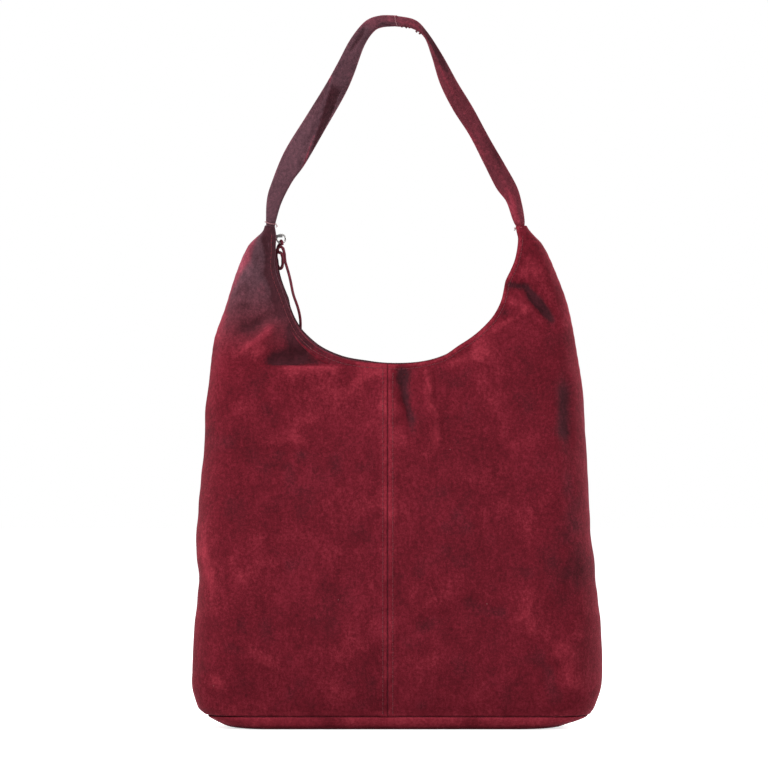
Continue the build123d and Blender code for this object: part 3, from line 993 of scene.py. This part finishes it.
def base_panel():
    """The suede base with its edge turned up and sewn in under the shell."""
    sections = np.array(BASE_RINGS[::-1], float)
    loops = []
    for z in BASE_HEIGHTS:
        left, right, deep = [float(smooth(sections[:, [0, k]], np.array(z))) for k in (1, 2, 3)]
        inset = float(tuck(np.array(FOOT - z)) * BASE_TUCK)
        loop = ring(z, left, right, deep, inset)
        swell = layered(loop[:, 0], loop[:, 1], BASE_SWELL) * ease(FOOT, 6, z)
        loop[:, 2] = loop[:, 2] + np.where(z > 0.4, swell * ease(0, 4, z), 0)
        loops.append(loop)
    points, faces = bowl(loops, BASE_LOOPS)
    obj = piece("base_panel", points, faces, BODY_SUEDE, "suede", SUEDE)
    # A painted highlight round the base's turned-up strip, for light thrown up from the floor, in random
    # patches.
    highlight_lift = 1.2 + 0.8 * lumps(points[:, 0], points[:, 1], 12, 33)
    keep_nap_and_painted_light(obj, highlight_lift * ease(1.5, 5, points[:, 2]) * ease(11.9, 10.8, points[:, 2]))


# ---- lining ----

LINING_THICK = 0.5
LINING_IN = 3.6
LINING_BELOW_RIM = 8
LINING_BASE_IN = 4.2
LINING_FLOOR = (4.6, 150, 147, 44)
LINING_LOOPS = (0.9, 0.75, 0.55, 0.35, 0.15)
LINING_STRETCH = 0.35  # draws its narrow creases out along the height
LONG_SLACK = [(1.1, 17, 41)]
BROAD_SLACK = [(0.7, 40, 45)]


def lining_half(name, side):
    """The lining of one face, hung from the hem down to the floor, slack and creased."""
    points, faces = [], []
    for hand in (LEFT, RIGHT):
        p, z = panel_grid(side, hand, LINING_STEP, LINING_BELOW_RIM)
        base, out = shell_face(p, z, side, hand)
        x = base[..., 0]
        side_away = half_girth(z, hand) - p
        slack = layered(x, z * LINING_STRETCH, LONG_SLACK, side) + layered(x, z, BROAD_SLACK, side)
        slack = slack * ease(0, 40, z - FOOT) * ease(0, 10, side_away) * ease(TIP_Z, 400, z)
        height = slack - LINING_IN - 0.6 + relief(side, x, z, side_away)
        faces += grid_faces(*p.shape, flip=side * hand > 0, start=len(points))
        points += (base + out * height[..., None]).reshape(-1, 3).tolist()
    piece(name, points, faces, LINING, "lining", LINING_THICK)


def lining_base():
    loops = [ring(z, *[size - LINING_BASE_IN for size in sizes]) for z, *sizes in BASE_RINGS[:3]]
    loops.append(ring(*LINING_FLOOR))
    points, faces = bowl(loops, LINING_LOOPS)
    points[:, 2] += 0.5 * lumps(points[:, 0], points[:, 1], 35, 51) + 0.5
    piece("lining_base", points, faces, LINING, "lining", LINING_THICK)


# ---- mouth zip ----


def bowed_gap(x, middle, end, half_length):
    """Half the gap between two rows of a zip that bow apart."""
    swell = middle - end
    radius = (half_length**2 + swell**2) / (2 * swell)
    inside = np.minimum(np.abs(x), half_length)
    return middle - radius + np.sqrt(radius**2 - inside**2)


def gap_half(x):
    return bowed_gap(x, GAP_MIDDLE, GAP_END, GAP_HALF_LENGTH)


def zip_places(step):
    """Places along the mouth from the zip's left end to its right, as degrees and rise above the arc."""
    ends = np.arange(MOUTH_Z, ZIP_TOP_Z, step)[1:] - MOUTH_Z
    arc = np.linspace(-90, 90, int(math.pi * MOUTH_RADIUS / step))
    degrees = np.concatenate([np.full(len(ends), -90.0), arc, np.full(len(ends), 90.0)])
    rise = np.concatenate([ends[::-1], np.zeros(len(arc)), ends])
    return degrees, rise


def on_scoop(radius, degrees, rise):
    angle = np.radians(degrees)
    return radius * np.sin(angle), MOUTH_Z - radius * np.cos(angle) + rise


def zip_tape(name, side):
    """Woven tape from the hem's inner ply to the row of coils."""
    degrees, rise = zip_places(TAPE_STEP)
    coil_r = smooth(ZIP_LINE, degrees)
    rim_r = rim_radius(degrees, side) + TAPE_BELOW_RIM
    rim_z = on_scoop(rim_r, degrees, rise)[1]
    inner = half_depth(np.minimum(rim_z, TAPE_TOP)) - 2 * ROLL - SUEDE + TAPE_THICK
    edge = gap_half(on_scoop(coil_r, degrees, rise)[0]) + COIL_WIDTH - TAPE_UNDER_COIL
    inner = np.maximum(inner, edge + TAPE_LEAST)
    rows = []
    for share in np.linspace(0, 1, 8):
        wave = 0.25 * np.sin(degrees * 0.9 + side) * math.sin(math.pi * share)
        r = coil_r + (np.maximum(rim_r, coil_r) - coil_r) * share**1.5 + wave
        x, z = on_scoop(r, degrees, rise)
        y = edge + (inner - edge) * share
        rows.append(np.stack([x, side * y, z], axis=1))
    for drop in TAPE_DROPS:
        x, z = on_scoop(np.maximum(rim_r, coil_r) + drop, degrees, rise)
        rows.append(np.stack([x, side * inner, z], axis=1))
    sheet(name, rows, side == FRONT, TAPE, "zip_tape", TAPE_THICK)


def zip_coil(name, side):
    """One row of the zip: a nylon spiral sewn along the edge of the tape."""
    per_turn = 10
    degrees, rise = zip_places(COIL_PITCH / per_turn)
    x, z = on_scoop(smooth(ZIP_LINE, degrees), degrees, rise)
    turn = 2 * math.pi * np.arange(len(x)) / per_turn + (0 if side == FRONT else math.pi)
    angle = np.radians(degrees)
    towards = np.stack([-np.sin(angle), 0 * x, np.cos(angle)], axis=1)
    lift = COIL_RISE * np.sin(turn)
    y = gap_half(x) + COIL_WIDTH / 2 + COIL_REACH * np.cos(turn)
    path = np.stack([x, side * y, z], axis=1) + towards * lift[:, None]
    piece(name, *tube_mesh([path], COIL_WIRE, sides=6), COIL, "zip_coil")


# ---- lace ----

KNOT_PLACES = 160
KNOT_RADIUS = 1.55
KNOT_SQUEEZE = 0.12
def lace_curve():
    """The free end of the thong, as one smooth curve through its route."""
    curve = bpy.data.curves.new("lace", "CURVE")
    curve.dimensions = "3D"
    curve.bevel_depth = LACE_WIDTH / 2
    curve.bevel_resolution = 4
    curve.resolution_u = 16
    curve.use_fill_caps = True
    spline = curve.splines.new("NURBS")
    spline.points.add(len(LACE_ROUTE) - 1)
    for point, place in zip(spline.points, LACE_ROUTE):
        point.co = (*place, 1)
    spline.order_u = 3
    spline.use_endpoint_u = True
    curve.materials.append(LACE_SUEDE)
    return add_object("lace", curve)


def lace():
    free = lace_curve()
    path = smooth_path(KNOT_ROUTE, KNOT_PLACES)
    squeeze = 1 - KNOT_SQUEEZE * np.abs(np.sin(np.arange(KNOT_PLACES) * 0.31))
    points, faces = tube_mesh([path], KNOT_RADIUS * squeeze, sides=14)
    knot = make_mesh("lace_knot", points, faces, LACE_SUEDE)
    for obj, node in ((free, "lace"), (knot, "lace_knot")):
        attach(obj, "pull")
        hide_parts(node)


# ---- strap ----

STATIONS = 200
LOOP = 44
SQUARE_EDGES = 0.8  # below 1, the strap's outline is squarer than a round one
SQUARE_FACES = 0.62

# Where the strap's face is creased, as a share of its width from the inner edge, by station.
LEFT_CREASE = [(0, 0.4), (4, -0.3), (5, 0.0), (5.6, 0.22), (6.3, 0.5), (7.0, 0.82), (7.6, 1.1), (12, 1.3)]
LEFT_INNER_TILT = [(0, 0.0), (4.6, 0.1), (5.3, 0.75), (6.6, 0.72), (7.4, 0.38), (9, 0.25), (12, 0.05)]
LEFT_OUTER_TILT = [(0, 0.1), (3, 0.12), (5, 0.3), (7.2, 0.55), (8, 0.1), (12, 0.1)]
RIGHT_CREASE = [(0, 0.5), (4, 0.45), (6, 0.5), (8, 0.42), (9, 0.38), (10, 0.3), (12, 0.5)]
RIGHT_INNER_TILT = [(0, 0.1), (3, 0.3), (6, 0.16), (9, 0.22), (12, 0.1)]
RIGHT_OUTER_TILT = [(0, 0.1), (2.5, 0.5), (4, 0.22), (7, 0.16), (9, 0.62), (10, 0.6), (11, 0.2), (12, 0.1)]


# Fine creases of the strap's front: start, end, width and height.
STRAP_CREASES = [
    ((-44, 626), (-27, 652), 1.7, -1.6),
    ((-91, 519), (-68, 574), 1.5, -1.2),
    ((-68, 592), (-62, 604), 2.0, 1.0),
    ((-16, 653), (2, 652.5), 2.0, -2.0),
    ((31, 642), (44, 612), 1.8, -1.2),
    ((100, 516), (84, 548), 2.0, -1.0),
    ((60, 566), (88, 520), 2.2, 0.9),
]


def strap_half(name, outer, inner, crease_at, inner_tilt, outer_tilt, seed):
    """A folded strip of suede: a flattened tube that is pinched at the neck and bent along a crease."""
    at = np.linspace(0, len(outer) - 1, STATIONS)
    edge_out = smooth_path(outer, STATIONS)
    edge_in = smooth_path(inner, STATIONS)
    shapes = (STRAP_THICK, crease_at, inner_tilt, outer_tilt)
    thick, fold, tilt_in, tilt_out = [smooth(shape, at) for shape in shapes]
    turn = np.linspace(0, 2 * math.pi, LOOP, endpoint=False)
    cos, sin = np.cos(turn), np.sin(turn)
    across = np.sign(cos) * np.abs(cos) ** SQUARE_EDGES
    through = np.sign(sin) * np.abs(sin) ** SQUARE_FACES
    share = 0.5 + 0.5 * across
    points = []
    nap_and_painted_light = []
    for k in range(STATIONS):
        width = np.linalg.norm(edge_out[k] - edge_in[k])
        x, z = (edge_in[k] + np.outer(share, edge_out[k] - edge_in[k])).T
        past = share - fold[k]
        both_tilts = tilt_in[k] + tilt_out[k]
        bend = np.where(past > 0, tilt_out[k] * past, -tilt_in[k] * past) * width
        soft = 0.06 * width * bell(past, 0.07) * both_tilts
        y = -through * thick[k] / 2 + bend + soft
        y = y - np.mean(bend)
        outward = np.where(y < 0, -1, 1) * np.abs(through)
        y = y + outward * layered(x + 40 * through, z, STRAP_DENTS, seed) * ease(470, 490, z)
        front = ease(0.1, -0.1, y)
        lines = sum(crease(x, z, *line) for line in STRAP_CREASES)
        y = y - front * lines
        # Painted light: on the front, painted shade where the face is tilted steeply beside the crease, a
        # painted highlight on the crease's ridge, and painted shade and highlights along the fine creases;
        # all round, painted highlights along the edges, near the top and low on the right half.
        shade = np.where(past > 0, tilt_out[k], tilt_in[k])
        ridge = bell(past, 0.1) * both_tilts
        rim = 1.2 * bell(through, 0.45) * ease(480, 500, z)
        rim = rim + 0.45 * ease(640, 656, z) + 0.8 * ease(508, 480, z) * ease(0, 60, x)
        nap_and_painted_light.append(front * (ridge * 0.9 - 1.5 * ease(0.3, 0.75, shade) + lines / 2) + rim)
        ply = bell(through, 0.35) * (across > 0) * 0.5 * ease(478, 500, z)
        way = (edge_out[k] - edge_in[k]) / width
        points.append(np.stack([x - ply * way[0], y, z - ply * way[1]], axis=1))
    is_left = name.endswith("left")
    faces = grid_faces(STATIONS, LOOP, closed=True, flip=is_left)
    first = range(LOOP)
    last = range((STATIONS - 1) * LOOP, STATIONS * LOOP)
    faces += [tuple(first), tuple(last[::-1])] if is_left else [tuple(first[::-1]), tuple(last)]
    obj = make_mesh(name, np.stack(points), faces, STRAP_SUEDE)
    keep_nap_and_painted_light(obj, np.array(nap_and_painted_light))
    bend_at_neck(obj)
    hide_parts(name)


def bend_at_neck(obj):
    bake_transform(obj)


def strap():
    left = (LEFT_OUTER, LEFT_INNER, LEFT_CREASE, LEFT_INNER_TILT, LEFT_OUTER_TILT)
    right = (RIGHT_OUTER, RIGHT_INNER, RIGHT_CREASE, RIGHT_INNER_TILT, RIGHT_OUTER_TILT)
    strap_half("strap_left", *left, seed=61)
    strap_half("strap_right", *right, seed=67)


# ---- stitching ----


def read_rows(distance, away, grid):
    """A grid's values where each of its rows is this distance away."""
    return np.array([[np.interp(distance, a, row[:, k]) for k in range(3)] for a, row in zip(away, grid)])


def seam_row(side, hand):
    """Places of the stitching beside the middle seam, with outward directions."""
    points, out, _ = outer_surface(side, hand)
    p, _ = panel_grid(side, hand, SUEDE_STEP, ROLL)
    away = p - SEAM_X * hand
    return read_rows(SEAM_ROW, away, points), read_rows(SEAM_ROW, away, out)


def hem_row(side, hand):
    """Places of the stitching along the hem, with outward directions."""
    points, out, _ = outer_surface(side, hand)
    p, z = panel_grid(side, hand, SUEDE_STEP, ROLL)
    away = rim_away(on_shell(p, z, side, hand)[..., 0], z, side)
    low = z[-1] <= HEM_ROW_TOP
    away, points, out = [np.swapaxes(grid[::-1, low], 0, 1) for grid in (away, points, out)]
    return read_rows(HEM_ROW, away, points), read_rows(HEM_ROW, away, out)


def seam_stitches():
    """Rows of topstitching beside the middle seams and along the hem."""
    for side, face in FACES:
        seam, hem = [], []
        for hand in (LEFT, RIGHT):
            path, out = seam_row(side, hand)
            seam += stitches(path[4:-6], out[4:-6], pitch=4.2, length=2.9, radius=0.34, sink=0.12)
            path, out = hem_row(side, hand)
            hem += stitches(path[2:], out[2:], pitch=4.0, length=2.8, radius=0.3, sink=0.14)
        for name, rows in ((f"seam_stitches_{face}", seam), (f"hem_stitches_{face}", hem)):
            thread_piece(name, rows, 0.32, RED_THREAD, "bag")


def thread_piece(name, paths, radius, material, body, sides=6):
    """Thin strands that ride on a body and replace nothing."""
    obj = make_mesh(name, *tube_mesh(paths, radius, sides), material)
    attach(obj, body)


NECK_PLACES = 28
NECK_WIRE = 0.22
NECK_TURN = 0.6  # rise of one turn over the last
NECK_SAG = -0.9
NUB_RADIUS = 0.42


def neck_thread(name, left_end, right_end, half_thick, nub):
    """Two turns of pale thread round a neck, with a small knot at its inner side."""
    paths = []
    for turn in range(2):
        loop = []
        for k in range(NECK_PLACES):
            angle = 2 * math.pi * k / NECK_PLACES
            share = 0.5 + 0.52 * math.cos(angle)
            x = left_end[0] + (right_end[0] - left_end[0]) * share
            z = left_end[1] + (right_end[1] - left_end[1]) * share + NECK_TURN * turn
            sag = NECK_SAG * math.sin(math.pi * min(max(share, 0), 1))
            loop.append((x, -half_thick * math.sin(angle), z + sag))
        paths.append(loop)
    points, faces = tube_mesh(paths, NECK_WIRE, sides=6, closed=True)
    x, y, z = nub
    tail = smooth_path([nub, (x + 0.9, y, z - 1.2), (x - 0.2, y - 0.4, z - 2.2)], 12)
    tail_points, tail_faces = tube_mesh([tail], NUB_RADIUS, sides=6)
    faces += [tuple(i + len(points) for i in face) for face in tail_faces]
    obj = make_mesh(name, points + tail_points, faces, PALE_THREAD)
    bend_at_neck(obj)


JOIN_LINE = [(-1.6, 0, 661.6), (-1.2, 0, 658), (-0.3, 0, 654.6), (0.8, 0, 651.6)]
JOIN_MIDDLE_Z = 656.6
JOIN_HALF_HEIGHT = 5.4
JOIN_HALF_DEPTH = 4.35
JOIN_PROUD = 0.15


def join_thread():
    """The strap's two halves are sewn together at the top with pale thread."""
    path = smooth_path(JOIN_LINE, 30)
    height = (path[:, 2] - JOIN_MIDDLE_Z) / JOIN_HALF_HEIGHT
    path[:, 1] = -JOIN_HALF_DEPTH * np.sqrt(np.clip(1 - height**4, 0.05, 1)) - JOIN_PROUD
    thread_piece("join_thread", [path], 0.28, PALE_THREAD, "strap")


# Ragged ends: place along the strap and length.
TUFTS = [(5, 0.9), (9, 1.3), (12, 0.8), (18.5, 1.5), (21.5, 0.9)]
TUFT_PLACES = 8
TUFT_RADII = np.linspace(1.2, 0.35, TUFT_PLACES)


def join_tufts():
    """Ragged bits of suede left on the strap's underside beside the join."""
    under_x, under_z = np.array(RIGHT_INNER[:-4:-1], float).T
    paths = []
    for x, length in TUFTS:
        z = float(np.interp(x, under_x, under_z)) + 0.8
        hang = [(x, -1.0, z), (x + 0.4, -1.6, z - 0.5 * length), (x - 0.3, -1.8, z - length)]
        paths.append(smooth_path(hang, TUFT_PLACES))
    thread_piece("join_tufts", paths, TUFT_RADII, STRAP_SUEDE, "strap", sides=8)


# ---- hardware kept from the frame ----


EDGE_DEGREES = 35
METAL_ROUNDING = 0.25
BOARD_ROUNDING = 0.3
RING_SWELL = 0.2


def finish_node(name, material, rounding=0.0):
    """A carried-over part: its own shape, with softened edges and a better finish."""
    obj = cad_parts[name]
    obj.data.materials.clear()
    obj.data.materials.append(material)
    if rounding:
        modifier = obj.modifiers.new("edges", "BEVEL")
        modifier.width = rounding * MM
        modifier.segments = 3
        modifier.limit_method = "ANGLE"
        modifier.angle_limit = math.radians(EDGE_DEGREES)
    return obj


def hardware():
    sliders = ("zip_slider", "pocket_slider", "pocket_pull")
    stops = ("zip_bottom_stop", "zip_top_stops", "pocket_stops")
    for name in sliders + stops:
        finish_node(name, DARK_METAL, METAL_ROUNDING)
    wire = finish_node("pull_ring", METAL).modifiers.new("wire", "DISPLACE")
    wire.strength = RING_SWELL * MM
    wire.mid_level = 0
    finish_node("base_board", BOARD, BOARD_ROUNDING)


# ---- inner pockets ----

ZIP_POCKET_X = (-80, 80)
ZIP_POCKET_Z = (110, 258)
POCKET_FACE_Y = 30
POCKET_THICK = 0.6
POCKET_HEM = 9
POCKET_ZIP_Y = POCKET_FACE_Y + 0.3
POCKET_ZIP_Z = 271
POCKET_TAPE_TOP = 284
POCKET_TAPE_END = 79
POCKET_COIL_END = 75
POCKET_COIL_WIRE = 0.3
POCKET_COIL_IN = 0.9
POCKET_COIL_RISE = 0.6
POCKET_COIL_REACH = 0.7
POCKET_GAP = (4, 1.2, 72)  # half the gap in the middle and at the ends, and half the gap's length
SLIP_POCKET_X = (-95, 10)
SLIP_POCKET_Z = (115, 225)


def pocket_tray(name, x_range, z_range, side, bulge, seed):
    """A cloth pocket with soft sides that run back to the lining, and a turned hem along its top."""
    columns = np.concatenate([[-1.0], np.linspace(0, 1, 48), [2.0]])
    rows = np.concatenate([[-1.0], np.linspace(0, 1, 46), [2.0, 3.0]])
    points = []
    for v in rows:
        line = []
        for u in columns:
            inside_u = min(max(u, 0), 1)
            inside_v = min(max(v, 0), 1)
            x = x_range[0] + (x_range[1] - x_range[0]) * inside_u
            z = z_range[0] + (z_range[1] - z_range[0]) * inside_v
            y = POCKET_FACE_Y - bulge * math.sin(math.pi * inside_u) * math.sin(math.pi * inside_v)
            y += 0.5 * float(lumps(x, z, 21, seed)) * math.sin(math.pi * inside_u)
            wall = float(half_depth(z)) - LINING_IN - 1.6
            if u < 0 or u > 1 or v < 0:
                y = wall
            if v > 1:
                y += 0.9
                z -= POCKET_HEM * (v - 2)
            line.append((x, side * y, z))
        points.append(line)
    sheet(name, points, side == FRONT, LINING, "lining", POCKET_THICK)


def pocket_tape(name, sign, reach):
    """One tape of the pocket's zip, from its coils outwards. The upper one also turns in to the wall."""
    x = np.linspace(-POCKET_TAPE_END, POCKET_TAPE_END, 120)
    edge = bowed_gap(x, *POCKET_GAP) + 1.4
    rows = []
    for share in np.linspace(0, 1, 6):
        ripple = 0.2 * np.sin(x / 5) * math.sin(math.pi * share)
        z = POCKET_ZIP_Z + sign * edge + sign * (reach - edge) * share
        rows.append(np.stack([x, POCKET_ZIP_Y + ripple, z], axis=1))
    if sign > 0:
        wall = float(half_depth(POCKET_TAPE_TOP)) - LINING_IN - 1.2
        rows.append(np.stack([x, 0 * x + wall, 0 * x + POCKET_TAPE_TOP - 0.3], axis=1))
    sheet(name, rows, sign < 0, TAPE, "zip_tape", TAPE_THICK)


def pocket_coil(name, sign):
    """One row of the pocket's zip."""
    per_turn = 8
    along = np.arange(-POCKET_COIL_END, POCKET_COIL_END, COIL_PITCH / per_turn)
    turn = 2 * math.pi * np.arange(len(along)) / per_turn
    edge = bowed_gap(along, *POCKET_GAP) + POCKET_COIL_IN
    z = POCKET_ZIP_Z + sign * (edge + POCKET_COIL_RISE * np.cos(turn))
    path = np.stack([along, POCKET_ZIP_Y + POCKET_COIL_REACH * np.sin(turn), z], axis=1)
    piece(name, *tube_mesh([path], POCKET_COIL_WIRE, sides=6), COIL, "zip_coil")


# ---- stage ----


FLOOR_REACH = 9000
FLOOR_DROP = 0.2
FLOOR_GLOW = (0.5, 1.8, 0.72, 0.95)  # metres from the bag where it starts and ends to rise, least and most


def stage_material():
    """White to look at, but it throws little light back on the bag."""
    g = Graph("studio_white")
    white = g.ramp(g.noise(0.8, 2), [(0.3, (0.84, 0.84, 0.84)), (0.7, (0.88, 0.88, 0.88))])
    seen = g.add("LightPath", {}).outputs["Is Camera Ray"]
    g.set(Base_Color=g.mix(seen, (0.6, 0.6, 0.6, 1), white), Roughness=0.9, Specular_IOR_Level=0.1)
    from_bag = g.add("VectorMath", {"Vector": g.place}, operation="LENGTH").outputs["Value"]
    glow = g.span(from_bag, *FLOOR_GLOW)
    g.set(Emission_Color=(1, 1, 1, 1), Emission_Strength=g.math("MULTIPLY", seen, glow))
    return g.material


def studio():
    """A wide pale floor, a hair below the base, with room for the camera on every side of the bag."""
    reach = (-FLOOR_REACH, FLOOR_REACH)
    points = [(x, y, -FLOOR_DROP) for y in reach for x in reach]
    floor = make_mesh("studio_floor", points, grid_faces(2, 2), stage_material())


# Soft square lights, all turned towards one point: name, place, width and power.
LIT_POINT = (0, 0, 0.3)
LIGHTS = [
    ("key", (-1.6, -1.7, 2.3), 0.7, 84),
    ("fill", (1.9, -2.4, 0.8), 1.4, 12),
    ("left_edge", (-1.7, 0.9, 0.9), 1.0, 22),
    ("right_edge", (1.7, 0.7, 0.9), 1.0, 40),
    ("top", (0.2, 0.9, 2.5), 1.0, 22),
]
WORLD_LIGHT = 0.22


def area_light(name, place, size, power):
    light = bpy.data.lights.new(name, "AREA")
    light.shape = "SQUARE"
    light.size = size
    light.energy = power
    obj = add_object(name, light)
    obj.location = place
    obj.rotation_euler = (Vector(LIT_POINT) - Vector(place)).to_track_quat("-Z", "Y").to_euler()


def lights():
    """The lamps, and a world that is white to look at but gives off less light."""
    for lamp in LIGHTS:
        area_light(*lamp)
    world = bpy.data.worlds.new("studio")
    world.use_nodes = True
    nodes, links = world.node_tree.nodes, world.node_tree.links
    background = nodes["Background"]
    background.inputs["Color"].default_value = (1, 1, 1, 1)
    strength = nodes.new("ShaderNodeMapRange")
    strength.inputs["To Min"].default_value = WORLD_LIGHT
    strength.inputs["To Max"].default_value = 1.0
    seen = nodes.new("ShaderNodeLightPath").outputs["Is Camera Ray"]
    links.new(seen, strength.inputs["Value"])
    links.new(strength.outputs["Result"], background.inputs["Strength"])
    bpy.context.scene.world = world
    bpy.context.scene.view_settings.view_transform = "Standard"


CAMERA_PLACE = (-0.0116, -6.6, 0.319)
CAMERA_LENS = 332.7
CAMERA_SENSOR = 36


def camera():
    """Level with the middle of the bag, straight in front."""
    data = bpy.data.cameras.new("camera")
    data.sensor_width = CAMERA_SENSOR
    data.lens = CAMERA_LENS
    obj = add_object("camera", data)
    obj.location = CAMERA_PLACE
    obj.rotation_euler = (math.radians(90), 0, 0)
    bpy.context.scene.camera = obj


panels()
base_panel()
lining_half("lining_front", FRONT)
lining_half("lining_back", BACK)
lining_base()
zip_tape("zip_tape_front", FRONT)
zip_tape("zip_tape_back", BACK)
zip_coil("zip_coil_front", FRONT)
zip_coil("zip_coil_back", BACK)
lace()
strap()
seam_stitches()
neck_thread("neck_thread_left", (-122.2, 469.6), (-111.8, 467.4), 3.9, (-111.8, -0.5, 467.0))
neck_thread("neck_thread_right", (109.8, 463.8), (120, 465.2), 5.7, (109.6, -0.6, 464.0))
join_thread()
join_tufts()
pocket_tray("zip_pocket", ZIP_POCKET_X, ZIP_POCKET_Z, BACK, 2.0, 71)
pocket_tray("slip_pocket", SLIP_POCKET_X, SLIP_POCKET_Z, FRONT, 2.5, 73)
pocket_tape("pocket_tape_upper", 1, 13)
pocket_tape("pocket_tape_lower", -1, 13.5)
pocket_coil("pocket_coil_upper", 1)
pocket_coil("pocket_coil_lower", -1)
hardware()
studio()
lights()
camera()
